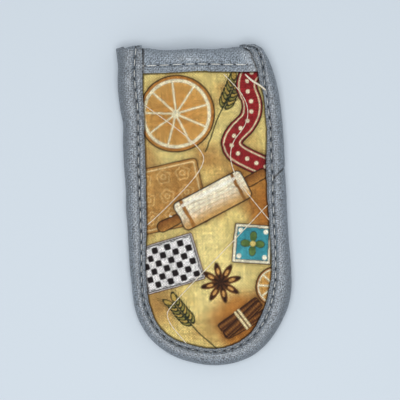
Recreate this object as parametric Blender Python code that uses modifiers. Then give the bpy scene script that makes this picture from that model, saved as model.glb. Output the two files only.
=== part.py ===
"""Quilted pocket that slips over a hot pan handle.

Two padded cotton panels lie one on the other. Each panel is a printed cover, a
sheet of wadding and a lining, held together by lines of quilting thread. A folded
tape binds each panel's mouth, and one long tape runs round the sides and the
closed end and joins the panels into a pocket.

Frame: metres. The pocket lies on its back panel on the plane z = 0, +Y points out
of the mouth and +X to the right, seen from above. The origin is the middle of the
base of the whole.
"""

import math

import bpy

MM = 0.001

# Outline of the pocket, seen from above
WIDTH = 75.6 * MM
LENGTH = 152.4 * MM
MOUTH_SKEW = math.radians(3.6)  # the mouth was sewn a little out of square
SWEEP_RADIUS = 43.0 * MM  # the right side leans in towards the mouth
SWEEP_RISE = 22.5 * MM  # over this much of its length
CORNER_RADIUS = 6.5 * MM  # the tape turns over the right end of the mouth
RIGHT_TURN = math.radians(91.5)  # the sweep and that corner together
TAIL = 5.0 * MM  # tape past that corner
LEFT_END_PROUD = 1.4 * MM  # the tape's left end stands past the mouth
RIGHT_END_PROUD = 1.4 * MM

# Plies
CLOTH = 0.4 * MM
WADDING = 2.4 * MM
WADDING_SEWN = 0.8 * MM  # squeezed under a tape
TAPE = 0.5 * MM  # two plies of tape, its raw edge folded in
THREAD = 0.4 * MM
PLY_GAP = 0.3 * MM
STITCH_BOW = 0.1 * MM  # a stitch's middle stands above its ends
SEAM_CLEARANCE = 0.1 * MM  # from the table to the lowest stitch
TAPE_RELIEF = PLY_GAP + THREAD + STITCH_BOW + SEAM_CLEARANCE  # a seam lies this deep

# Edge tape: how far it reaches in from the outline, at shares of its length
FRONT_REACH = (
    (0.00, 13.4 * MM),
    (0.10, 12.2 * MM),
    (0.20, 11.0 * MM),
    (0.30, 8.8 * MM),
    (0.42, 8.5 * MM),
    (0.50, 8.8 * MM),
    (0.66, 9.8 * MM),
    (0.78, 9.4 * MM),
    (0.86, 7.4 * MM),
    (0.93, 6.9 * MM),
    (0.965, 5.2 * MM),
    (0.985, 2.4 * MM),
    (1.00, 1.6 * MM),
)
BACK_REACH = (
    (0.00, 9.0 * MM),
    (0.20, 10.5 * MM),
    (0.40, 12.0 * MM),
    (0.80, 12.0 * MM),
    (0.93, 8.0 * MM),
    (0.965, 5.2 * MM),
    (0.985, 2.4 * MM),
    (1.00, 1.6 * MM),
)
SEAM_INSET = 2.9 * MM  # from the tape's inner fold to its seam
ROLL_DEPTH = 3.2 * MM  # the rounded outer edge, seen from above
SIDE_ZONE = 13.0 * MM  # everything under the edge tape lies flat this far in
SIDE_EASE = 11.0 * MM

# Mouth tapes
MOUTH_REACH = 11.3 * MM
MOUTH_SEAM_INSET = 3.4 * MM
MOUTH_ROLL_DEPTH = 1.6 * MM
MOUTH_ZONE = 12.0 * MM
MOUTH_EASE = 18.0 * MM

# How far the pocket stands open
SEWN_GAP = 0.3 * MM
OPEN_AT_MOUTH = 7.5 * MM
OPEN_INSIDE = 6.5 * MM
OPEN_START = 11.0 * MM  # in from the outline
ARCH_FULLNESS = 0.75

# Seams and quilting
STITCH = 4.8 * MM
MOUTH_STITCH = 5.9 * MM
SEAM_START = 3.0 * MM  # from the tape's end
SEAM_END = 15.0 * MM
QUILT_DEPTH = 0.5 * MM
QUILT_HALF_WIDTH = 5.0 * MM
QUILT_STEP = 3.2 * MM
QUILTING = (
    ((-33.0, 54.0), (1.0, 25.0), (-0.5, 15.5), (-18.0, -0.5), (-33.0, -12.0)),
    ((7.0, 65.0), (27.5, 41.0), (7.0, 20.5), (33.0, -16.0)),
    ((33.0, 1.0), (-20.0, -46.0), (-23.0, -52.5), (-13.0, -66.0)),
    ((20.0, 61.0), (26.0, 55.0), (32.0, 49.0)),
)

# Steps of each grid
PANEL_COLUMNS = 12
PANEL_ROWS = 24
TAPE_STEPS = (5, 6, 16, 6, 8, 5, 2)
NEAR_MOUTH = 30.0 * MM  # the edge tape has closer steps here

COLOURS = {
    "printed_cotton": ((0.72, 0.58, 0.22), 0.85),
    "wadding": ((0.80, 0.78, 0.72), 0.95),
    "lining": ((0.78, 0.72, 0.60), 0.85),
    "grey_tape": ((0.27, 0.30, 0.33), 0.65),
    "thread": ((0.66, 0.64, 0.58), 0.55),
}

HALF_WIDTH = WIDTH / 2
END_CENTRE_Y = -LENGTH / 2 + HALF_WIDTH  # centre of the round closed end
SWEEP_ANGLE = math.asin(SWEEP_RISE / SWEEP_RADIUS)
CORNER_ANGLE = RIGHT_TURN - SWEEP_ANGLE
PANEL_INSET = ROLL_DEPTH + PLY_GAP
MOUTH_PANEL_INSET = MOUTH_ROLL_DEPTH + PLY_GAP


def smooth_step(value, start, width):
    """0 before start, 1 past start + width, and a smooth rise between."""
    share = min(max((value - start) / width, 0.0), 1.0)
    return share * share * (3.0 - 2.0 * share)


def read_table(table, share):
    """Reads a table of (share, size) pairs, eased between its rows."""
    for (low, first), (high, second) in zip(table, table[1:]):
        if share <= high:
            return first + (second - first) * smooth_step(share, low, high - low)
    return table[-1][1]


def mouth_y(x):
    """The outer edge of the mouth tapes."""
    at_left = LENGTH / 2 - LEFT_END_PROUD
    return at_left - math.tan(MOUTH_SKEW) * (x + HALF_WIDTH)


def right_straight():
    """Length of the straight right side, so that the corner ends just past the mouth."""
    rise = SWEEP_RISE + CORNER_RADIUS * (math.sin(RIGHT_TURN) - math.sin(SWEEP_ANGLE))
    run = SWEEP_RADIUS * (1 - math.cos(SWEEP_ANGLE))
    run += CORNER_RADIUS * (math.cos(SWEEP_ANGLE) - math.cos(RIGHT_TURN))
    top = mouth_y(HALF_WIDTH - run) + RIGHT_END_PROUD
    return top - rise - END_CENTRE_Y


SWEEP_START_Y = END_CENTRE_Y + right_straight()
# The edge tape's route, from its left end: (length, angle turned) of each stretch
ROUTE = (
    (NEAR_MOUTH, 0.0),
    (LENGTH - HALF_WIDTH - NEAR_MOUTH, 0.0),
    (math.pi * HALF_WIDTH, math.pi),
    (right_straight(), 0.0),
    (SWEEP_RADIUS * SWEEP_ANGLE, SWEEP_ANGLE),
    (CORNER_RADIUS * CORNER_ANGLE, CORNER_ANGLE),
    (TAIL, 0.0),
)
ROUTE_LENGTH = sum(length for length, _ in ROUTE)


def walk_outline(distance):
    """The point of the outline that far along the route, and the direction inwards."""
    x, y, heading = -HALF_WIDTH, LENGTH / 2, -math.pi / 2
    left = distance
    for length, turn in ROUTE:
        step = min(left, length)
        turned = turn * step / length
        chord = step if turned == 0 else 2 * length / turn * math.sin(turned / 2)
        x += chord * math.cos(heading + turned / 2)
        y += chord * math.sin(heading + turned / 2)
        heading += turned
        left -= step
        if left <= 0:
            break
    return x, y, -math.sin(heading), math.cos(heading)


def right_side_x(y):
    """The outline's right side above the round end."""
    above = max(y - SWEEP_START_Y, 0.0)
    above = min(above, 0.95 * SWEEP_RADIUS)
    return HALF_WIDTH - SWEEP_RADIUS + math.sqrt(SWEEP_RADIUS**2 - above**2)


def edge_inset(x, y):
    """(distance in from the sides and the closed end, half the width there)."""
    if y < END_CENTRE_Y:
        return HALF_WIDTH - math.hypot(x, y - END_CENTRE_Y), HALF_WIDTH
    right = right_side_x(y)
    half = (right + HALF_WIDTH) / 2
    return half - abs(x - (right - HALF_WIDTH) / 2), half


def bend_line(points):
    """A line that rounds off the corners of a row of points, given in millimetres."""
    corners = [(x * MM, y * MM) for x, y in points]
    middles = [((ax + bx) / 2, (ay + by) / 2) for (ax, ay), (bx, by) in zip(corners, corners[1:])]
    knots = [corners[0], *middles, corners[-1]]
    line = []
    controls = [middles[0], *corners[1:-1], middles[-1]]
    for start, control, end in zip(knots, controls, knots[1:]):
        steps = max(2, round(math.dist(start, end) / QUILT_STEP))
        for i in range(steps):
            t = i / steps
            weights = (1 - t) ** 2, 2 * t * (1 - t), t**2
            line.append(tuple(sum(w * p[k] for w, p in zip(weights, (start, control, end))) for k in (0, 1)))
    return [*line, corners[-1]]


QUILT_LINES = [bend_line(points) for points in QUILTING]


def distance_to_quilting(x, y, lines):
    """Distance to the nearest stretch of the quilting lines."""
    nearest = WIDTH
    for line in lines:
        for (ax, ay), (bx, by) in zip(line, line[1:]):
            along = (x - ax) * (bx - ax) + (y - ay) * (by - ay)
            share = min(max(along / ((bx - ax) ** 2 + (by - ay) ** 2), 0.0), 1.0)
            nearest = min(nearest, math.hypot(x - ax - share * (bx - ax), y - ay - share * (by - ay)))
    return nearest


def mirrored(lines):
    """The back panel's quilting: the same lines, turned over."""
    return [[(-x, y) for x, y in line] for line in lines]


FRONT_QUILT, BACK_QUILT = QUILT_LINES, mirrored(QUILT_LINES)


def heights(x, y):
    """The underside of each ply at a place, from the table up."""
    inset, half = edge_inset(x, y)
    from_mouth = mouth_y(x) - y
    side = 1.0 - smooth_step(inset, SIDE_ZONE, SIDE_EASE)
    mouth = 1.0 - smooth_step(from_mouth, MOUTH_ZONE, MOUTH_EASE)
    free = (1.0 - side) * smooth_step(from_mouth, MOUTH_ZONE, SIDE_EASE)
    wadding = WADDING_SEWN + (WADDING - WADDING_SEWN) * free

    share = min(max((inset - OPEN_START) / (half - OPEN_START), 0.0), 1.0)
    arch = smooth_step(share, 0.0, 1.0) ** ARCH_FULLNESS
    opening = OPEN_INSIDE + (OPEN_AT_MOUTH - OPEN_INSIDE) * mouth

    inner_tape = mouth * (TAPE + PLY_GAP)
    outer_tape = inner_tape + mouth * (1.0 - side) * TAPE_RELIEF
    dent_back = QUILT_DEPTH * free * quilt_dent(x, y, BACK_QUILT)
    dent_front = QUILT_DEPTH * free * quilt_dent(x, y, FRONT_QUILT)

    raised = TAPE_RELIEF * (1.0 - side) * (1.0 - mouth)  # quilting threads clear the table
    base = raised + side * (TAPE + TAPE_RELIEF + PLY_GAP) + outer_tape
    level = {"back_cover": base + dent_back}
    level["back_wadding"] = level["back_cover"] + CLOTH + PLY_GAP
    level["back_wadding_thickness"] = wadding - dent_back
    level["back_lining"] = level["back_wadding"] + wadding - dent_back + PLY_GAP
    level["back_top"] = level["back_lining"] + CLOTH
    level["front_lining"] = level["back_top"] + 2 * inner_tape + SEWN_GAP + opening * arch
    level["front_wadding"] = level["front_lining"] + CLOTH + PLY_GAP
    level["front_wadding_thickness"] = wadding - dent_front
    level["front_cover"] = level["front_wadding"] + wadding - dent_front + PLY_GAP
    level["front_top"] = level["front_cover"] + CLOTH
    level["over_mouth_tape"] = level["front_top"] + outer_tape
    level["under_mouth_tape"] = level["back_cover"] - outer_tape
    return level


def quilt_dent(x, y, lines):
    """1 on a quilting line, 0 past the width of its channel."""
    return 1.0 - smooth_step(distance_to_quilting(x, y, lines), 0.0, QUILT_HALF_WIDTH)


def panel_place(column, row):
    """A panel's flat shape: maps shares across and along it to x and y."""
    radius = HALF_WIDTH - PANEL_INSET
    across = 2 * column - 1
    straight = mouth_y(0.0) - MOUTH_PANEL_INSET - END_CENTRE_Y
    along = row * (radius + straight) - radius
    if along < 0:
        down = along / radius
        x = radius * across * math.sqrt(1 - down * down / 2)
        return x, END_CENTRE_Y + along * math.sqrt(1 - across * across / 2)
    y = END_CENTRE_Y + along
    left, right = -radius, right_side_x(y) - PANEL_INSET
    x = left + (right - left) * column
    return x, y + (mouth_y(x) - mouth_y(0.0)) * along / straight


def material(name):
    """A plain finish of the named colour."""
    colour, roughness = COLOURS[name]
    made = bpy.data.materials.get(name) or bpy.data.materials.new(name)
    made.use_nodes = True
    shader = made.node_tree.nodes["Principled BSDF"]
    shader.inputs["Base Color"].default_value = (*colour, 1.0)
    shader.inputs["Roughness"].default_value = roughness
    shader.inputs["Metallic"].default_value = 0.0
    return made


def add_sheet(name, columns, rows, place, thickness, finish, share=None):
    """Cloth of one thickness, or of a share of it at each place, on a grid that place lays out."""
    bpy.ops.mesh.primitive_grid_add(x_subdivisions=columns, y_subdivisions=rows, size=1.0)
    sheet = bpy.context.object
    sheet.name = name
    sheet.data.name = name
    sheet.data.materials.append(material(finish))
    shares = [(point.co.x + 0.5, point.co.y + 0.5) for point in sheet.data.vertices]
    for point, (column, row) in zip(sheet.data.vertices, shares):
        point.co = place(column, row)
    solidify = sheet.modifiers.new("thickness", "SOLIDIFY")
    solidify.thickness = thickness
    solidify.offset = 0.0
    solidify.use_even_offset = share is None
    if share:
        group = sheet.vertex_groups.new(name="thickness")
        for point, at in zip(sheet.data.vertices, shares):
            group.add([point.index], share(*at), "REPLACE")
        solidify.vertex_group = group.name
    keep_in(sheet)
    return sheet


def keep_in(piece):
    """Moves a piece into the holder's own collection."""
    collection = bpy.data.collections["handle_holder"]
    for old in piece.users_collection:
        old.objects.unlink(piece)
    collection.objects.link(piece)


def add_cloth(name, finish):
    """A panel's cover or lining, a thin sheet on its own level."""

    def place(column, row):
        x, y = panel_place(column, row)
        return x, y, heights(x, y)[name] + CLOTH / 2

    return add_sheet(name, PANEL_COLUMNS, PANEL_ROWS, place, CLOTH, finish)


def add_wadding(name):
    """A panel's wadding: full in the middle, squeezed under the tapes and the quilting."""

    def place(column, row):
        x, y = panel_place(column, row)
        level = heights(x, y)
        return x, y, level[name] + level[name + "_thickness"] / 2

    def share(column, row):
        return heights(*panel_place(column, row))[name + "_thickness"] / WADDING

    return add_sheet(name, PANEL_COLUMNS, PANEL_ROWS, place, WADDING, "wadding", share)


def tape_section(front, back, roll, seam):
    """Across a folded tape, from its front fold round the roll to its back fold.

    Each row is (distance in from the outline, side from -1 for the back to 1 for
    the front, share of the relief)."""
    half = TAPE / 2
    section = []
    for reach, side in ((front, 1.0), (back, -1.0)):
        groove = reach - seam
        crest = (groove + roll) / 2
        rise = 0.9 if side > 0 else 1.0  # the back lies flat on the table from crest to roll
        rows = [(reach, side, 0.2), (reach - seam / 2, side, 0.4), (groove, side, 0.0)]
        rows += [(crest, side, rise), (roll, side, 1.0)]
        section += rows if side > 0 else rows[::-1]
    nose = [math.radians(angle) for angle in (45, 0, -45)]
    depth = roll - half
    middle = [(roll - depth * math.cos(angle), math.sin(angle), 1.0) for angle in nose]
    return section[:5] + middle + section[5:]


def tape_steps():
    """Distances along the edge tape's route at which its section is set."""
    steps, start = [0.0], 0.0
    for (length, _), count in zip(ROUTE, TAPE_STEPS):
        steps += [start + length * (i + 1) / count for i in range(count)]
        start += length
    return steps


def tape_height(x, y, side, relief):
    """Mid-height of the edge tape at a place, between its back at -1 and its front at 1."""
    low = TAPE / 2 + TAPE_RELIEF * (1.0 - relief)
    high = heights(x, y)["over_mouth_tape"] + PLY_GAP + TAPE / 2 + TAPE_RELIEF * relief
    return low + (high - low) * (side + 1.0) / 2


def edge_reaches(distance):
    """(front reach, back reach, roll depth, seam inset) of the edge tape there."""
    share = distance / ROUTE_LENGTH
    front, back = read_table(FRONT_REACH, share), read_table(BACK_REACH, share)
    seam = min(SEAM_INSET, 0.3 * min(front, back))
    return front, back, min(ROLL_DEPTH, 0.6 * (min(front, back) - seam)), seam


def add_edge_binding():
    """One folded tape round the left side, the closed end and the right side."""
    steps = tape_steps()
    columns = len(tape_section(1.0, 1.0, 0.5, 0.1)) - 1

    def place(column, row):
        distance = steps[round(row * (len(steps) - 1))]
        x, y, inward_x, inward_y = walk_outline(distance)
        section = tape_section(*edge_reaches(distance))
        inset, side, relief = section[round(column * columns)]
        x, y = x + inward_x * inset, y + inward_y * inset
        return x, y, tape_height(x, y, side, relief)

    return add_sheet("edge_binding", columns, len(steps) - 1, place, TAPE, "grey_tape")


def add_mouth_binding(name, low, high, outer_side):
    """A folded tape over a panel's mouth, between two levels of that panel."""
    rows = len(tape_section(1.0, 1.0, 0.5, 0.1)) - 1
    section = tape_section(MOUTH_REACH, MOUTH_REACH, MOUTH_ROLL_DEPTH, MOUTH_SEAM_INSET)

    def place(column, row):
        inset, side, relief = section[round(row * rows)]
        panel_edge_x = panel_place(column, 1.0)[0]
        y = mouth_y(panel_edge_x) - inset
        x = panel_x_at(column, y)
        level = heights(x, y)
        side_share = 1.0 - smooth_step(edge_inset(x, y)[0], SIDE_ZONE, SIDE_EASE)
        lift = TAPE_RELIEF * relief * (1.0 - side_share)
        base = TAPE_RELIEF * (1.0 - side_share)
        edges = {-1: level[low] - PLY_GAP - TAPE / 2, 1: level[high] + PLY_GAP + TAPE / 2}
        edges[outer_side] += outer_side * lift
        return x, y, (edges[-1] * (1.0 - side) + edges[1] * (1.0 + side)) / 2

    return add_sheet(name, PANEL_COLUMNS, rows, place, TAPE, "grey_tape")


def panel_x_at(column, y):
    """Where a column of the panel's grid crosses a height near the mouth."""
    left, right = PANEL_INSET - HALF_WIDTH, right_side_x(y) - PANEL_INSET
    return left + (right - left) * column


def surface_height(piece, x, y, start, direction):
    """Where a line up or down through x and y first meets a piece."""
    seen = piece.evaluated_get(bpy.context.evaluated_depsgraph_get())
    hit, place, _, _ = seen.ray_cast((x, y, start), (0.0, 0.0, direction))
    return place.z if hit else None


def add_thread(name, route, carrier, above, start, bow=0.0):
    """A thread laid along a route on its carrier, with a bow between each pair of holes."""
    direction = -1.0 if above else 1.0
    points = []
    for i, (x, y) in enumerate(route):
        height = surface_height(carrier, x, y, start, direction)
        if height is None:
            continue
        lift = PLY_GAP + THREAD / 2 + bow * (i % 2)
        points.append((x, y, height - direction * lift, 1.0))
    curve = bpy.data.curves.new(name, "CURVE")
    curve.dimensions = "3D"
    curve.bevel_depth = THREAD / 2
    curve.bevel_resolution = 0
    curve.use_fill_caps = True
    spline = curve.splines.new("POLY")
    spline.points.add(len(points) - 1)
    for point, place in zip(spline.points, points):
        point.co = place
    curve.materials.append(material("thread"))
    thread = bpy.data.objects.new(name, curve)
    bpy.data.collections["handle_holder"].objects.link(thread)
    return thread


def edge_seam_route(table_index):
    """Along the seam of the edge tape, two points a stitch, on its front or its back."""
    length = ROUTE_LENGTH - SEAM_START - SEAM_END
    count = 2 * round(length / STITCH)
    route = []
    for i in range(count + 1):
        distance = SEAM_START + length * i / count
        x, y, inward_x, inward_y = walk_outline(distance)
        reaches = edge_reaches(distance)
        inset = reaches[table_index] - reaches[3]
        route.append((x + inward_x * inset, y + inward_y * inset))
    return route


def mouth_seam_route():
    """Along a mouth tape's seam, between the edge tape's two inner folds."""
    clear = max(reach for _, reach in FRONT_REACH) + PLY_GAP
    left = clear - HALF_WIDTH + THREAD
    right = right_side_x(mouth_y(HALF_WIDTH) - MOUTH_REACH) - clear
    count = 2 * round((right - left) / MOUTH_STITCH)
    places = [left + (right - left) * i / count for i in range(count + 1)]
    return [(x, mouth_y(x) - MOUTH_REACH + MOUTH_SEAM_INSET) for x in places]


def reach_near(x, y, table):
    """The edge tape's reach where it passes nearest to a place."""
    nearest = min(tape_steps(), key=lambda distance: math.dist(walk_outline(distance)[:2], (x, y)))
    return read_table(table, nearest / ROUTE_LENGTH)


def quilting_route(line, table):
    """The stretch of a quilting line that no tape covers."""
    return [
        (x, y)
        for x, y in line
        if edge_inset(x, y)[0] > reach_near(x, y, table) + 2 * THREAD
        and mouth_y(x) - y > MOUTH_REACH + 2 * THREAD
    ]


def clear_scene():
    """Empties the scene and makes the holder's collection."""
    for old in list(bpy.data.objects):
        bpy.data.objects.remove(old)
    collection = bpy.data.collections.new("handle_holder")
    bpy.context.scene.collection.children.link(collection)


def build():
    clear_scene()
    back_cover = add_cloth("back_cover", "printed_cotton")
    add_wadding("back_wadding")
    add_cloth("back_lining", "lining")
    add_cloth("front_lining", "lining")
    add_wadding("front_wadding")
    front_cover = add_cloth("front_cover", "printed_cotton")
    back_mouth = add_mouth_binding("back_mouth_binding", "back_cover", "back_top", -1)
    front_mouth = add_mouth_binding("front_mouth_binding", "front_lining", "front_top", 1)
    edge = add_edge_binding()

    sky, table = LENGTH, -LENGTH
    add_thread("edge_needle_thread", edge_seam_route(0), edge, True, sky, STITCH_BOW)
    add_thread("edge_bobbin_thread", edge_seam_route(1), edge, False, table, STITCH_BOW)
    mouth = mouth_seam_route()
    add_thread("front_mouth_needle_thread", mouth, front_mouth, True, sky, STITCH_BOW)
    add_thread("back_mouth_needle_thread", mouth, back_mouth, False, table, STITCH_BOW)
    for number, line in enumerate(FRONT_QUILT, 1):
        route = quilting_route(line, FRONT_REACH)
        add_thread(f"front_quilting_thread_{number}", route, front_cover, True, sky)
    for number, line in enumerate(BACK_QUILT, 1):
        route = quilting_route(line, BACK_REACH)
        add_thread(f"back_quilting_thread_{number}", route, back_cover, False, table)


build()
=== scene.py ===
"""Dresses the quilted handle holder and sets the studio that it is shown in.

The holder is a sewn pocket: two quilted panels, a tape over each panel's mouth and
one tape round the sides and the closed end. Each class below makes one of those
sub-assemblies from the same cutting pattern, so that they fit one another.

Frame: metres. The pocket lies on its back on z = 0, +Y points out of its mouth and
+X to the right, seen from above.
"""

import logging
import math
from dataclasses import dataclass, field
from enum import Enum
from functools import cached_property
from typing import Any, Iterator, Optional

import bpy
import numpy as np
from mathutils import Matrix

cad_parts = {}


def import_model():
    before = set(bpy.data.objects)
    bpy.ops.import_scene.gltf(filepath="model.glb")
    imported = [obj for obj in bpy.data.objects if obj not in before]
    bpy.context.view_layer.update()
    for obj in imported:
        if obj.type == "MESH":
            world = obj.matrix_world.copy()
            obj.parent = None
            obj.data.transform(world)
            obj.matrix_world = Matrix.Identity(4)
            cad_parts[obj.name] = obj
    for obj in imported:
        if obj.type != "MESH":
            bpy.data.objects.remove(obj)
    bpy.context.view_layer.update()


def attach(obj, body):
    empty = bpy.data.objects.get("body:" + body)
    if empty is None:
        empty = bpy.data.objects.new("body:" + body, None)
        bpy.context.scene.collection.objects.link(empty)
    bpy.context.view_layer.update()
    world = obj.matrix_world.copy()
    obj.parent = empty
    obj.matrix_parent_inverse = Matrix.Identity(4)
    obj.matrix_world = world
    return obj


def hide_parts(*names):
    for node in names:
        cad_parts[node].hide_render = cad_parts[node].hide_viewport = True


MM = 0.001
LOG = logging.getLogger("handle_holder")

Array = np.ndarray
Limits = tuple[float, float]
Object = bpy.types.Object
Material = bpy.types.Material
Tree = bpy.types.NodeTree
Node = bpy.types.Node
Socket = bpy.types.NodeSocket


class Face(Enum):
    """Which side of the pocket a piece belongs to."""

    FRONT = 1
    BACK = -1


# ---- small geometry helpers


def smooth_step(value: Array, start: float, width: float) -> Array:
    """A smooth rise from 0 at a start to 1 a width further on.

    Args:
        value: Where the rise is read.
        start: Value at which it begins.
        width: How far on it ends.

    Returns:
        The share risen at each value.
    """
    share = np.clip((np.asarray(value, float) - start) / width, 0.0, 1.0)
    return share * share * (3.0 - 2.0 * share)


def smooth_table(table: tuple[tuple[float, float], ...], at: Array) -> Array:
    """Draws a smooth curve through a table of (place, size) rows.

    Args:
        table: Rows in order of their place.
        at: Where the curve is read.

    Returns:
        The size at each place.
    """
    places, sizes = np.array(table, float).T
    slope = np.gradient(sizes, places)
    cell = np.clip(np.searchsorted(places, at, side="right") - 1, 0, len(places) - 2)
    width = places[cell + 1] - places[cell]
    t = np.clip((at - places[cell]) / width, 0.0, 1.0)
    low = (2 * t**3 - 3 * t**2 + 1) * sizes[cell] + (t**3 - 2 * t**2 + t) * slope[cell] * width
    high = (3 * t**2 - 2 * t**3) * sizes[cell + 1] + (t**3 - t**2) * slope[cell + 1] * width
    return low + high


def nearest_on(points: Array, line: Array) -> tuple[Array, Array]:
    """Finds the nearest point of a line, seen in plan, to each of some places.

    Args:
        points: Places of shape (count, 2 or more).
        line: The line's points, closely spaced.

    Returns:
        The nearest point's index and its distance, for each place.
    """
    index, distance = [], []
    for part in np.array_split(points, max(1, len(points) // 4000)):
        off = np.hypot(part[:, :1] - line[:, 0], part[:, 1:2] - line[:, 1])
        index.append(off.argmin(axis=1))
        distance.append(off.min(axis=1))
    return np.concatenate(index), np.concatenate(distance)


def to_stretch(x: Array, y: Array, a: Array, b: Array) -> tuple[Array, Array]:
    """Finds the nearest place on one straight stretch of line to each point.

    Args:
        x: The points' places across.
        y: Their places along.
        a: The stretch's start.
        b: Its end.

    Returns:
        The share of the way from start to end, and the distance.
    """
    along = (x - a[0]) * (b[0] - a[0]) + (y - a[1]) * (b[1] - a[1])
    share = np.clip(along / ((b - a) @ (b - a)), 0.0, 1.0)
    return share, np.hypot(x - a[0] - share * (b[0] - a[0]), y - a[1] - share * (b[1] - a[1]))


def spline_rows(rows: Array, count: int) -> Array:
    """Draws a smooth curve through rows of values.

    Args:
        rows: Values at the knots, knots along the first axis.
        count: How many rows the curve is read at.

    Returns:
        The curve's rows, through every knot.
    """
    knots = len(rows)
    padded = np.concatenate([2 * rows[:1] - rows[1:2], rows, 2 * rows[-1:] - rows[-2:-1]])
    at = np.linspace(0.0, knots - 1.0, count)
    cell = np.minimum(at.astype(int), knots - 2)
    t = (at - cell).reshape((-1,) + (1,) * (rows.ndim - 1))
    a, b, c, d = (padded[cell + i] for i in range(4))
    drawn = 2 * b + (c - a) * t + (2 * a - 5 * b + 4 * c - d) * t**2
    return (drawn + (3 * b - a - 3 * c + d) * t**3) / 2


def lattice_noise(x: Array, y: Array, seed: int) -> Array:
    """Even, repeatable noise on a unit lattice, from -1 to 1.

    Args:
        x: First coordinate, in lattice steps.
        y: Second coordinate, in lattice steps.
        seed: Picks one noise among many.

    Returns:
        The noise at each point.
    """

    def corner(i: Array, j: Array) -> Array:
        """The noise's value at a corner of the lattice."""
        mixed = np.sin(i * 127.1 + j * 311.7 + seed * 74.7) * 43758.5453
        return 2.0 * (mixed - np.floor(mixed)) - 1.0

    i, j = np.floor(x), np.floor(y)
    u, v = x - i, y - j
    u, v = u * u * (3 - 2 * u), v * v * (3 - 2 * v)
    low = corner(i, j) * (1 - u) + corner(i + 1, j) * u
    high = corner(i, j + 1) * (1 - u) + corner(i + 1, j + 1) * u
    return low * (1 - v) + high * v


def clouds(x: Array, y: Array, size: float, seed: int, layers: int = 3) -> Array:
    """Soft clouds: noise of several sizes laid over each other.

    Args:
        x: First coordinate.
        y: Second coordinate, in the same unit.
        size: Width of the largest clouds, in that unit.
        seed: Picks one sky among many.
        layers: How many sizes there are, each half the last.

    Returns:
        The clouds' depth at each point, about -1 to 1.
    """
    total, weight = np.zeros_like(np.asarray(x, float)), 0.0
    for layer in range(layers):
        step, part = size / 2**layer, 0.5**layer
        total = total + part * lattice_noise(x / step, y / step, seed + 17 * layer)
        weight += part
    return total / weight


def sample_grid(places: Array, row: Array, column: Array) -> Array:
    """Reads points of a grid of places between its knots.

    Args:
        places: Grid of shape (rows, columns, 3).
        row: Where to read along the rows, as a fractional index.
        column: Where to read along the columns.

    Returns:
        One place for each index.
    """
    i = np.clip(np.floor(row).astype(int), 0, places.shape[0] - 2)
    j = np.clip(np.floor(column).astype(int), 0, places.shape[1] - 2)
    u, v = (row - i)[:, None], (column - j)[:, None]
    low = places[i, j] * (1 - v) + places[i, j + 1] * v
    high = places[i + 1, j] * (1 - v) + places[i + 1, j + 1] * v
    return low * (1 - u) + high * u


# ---- the cutting pattern that all the pieces share


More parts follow.
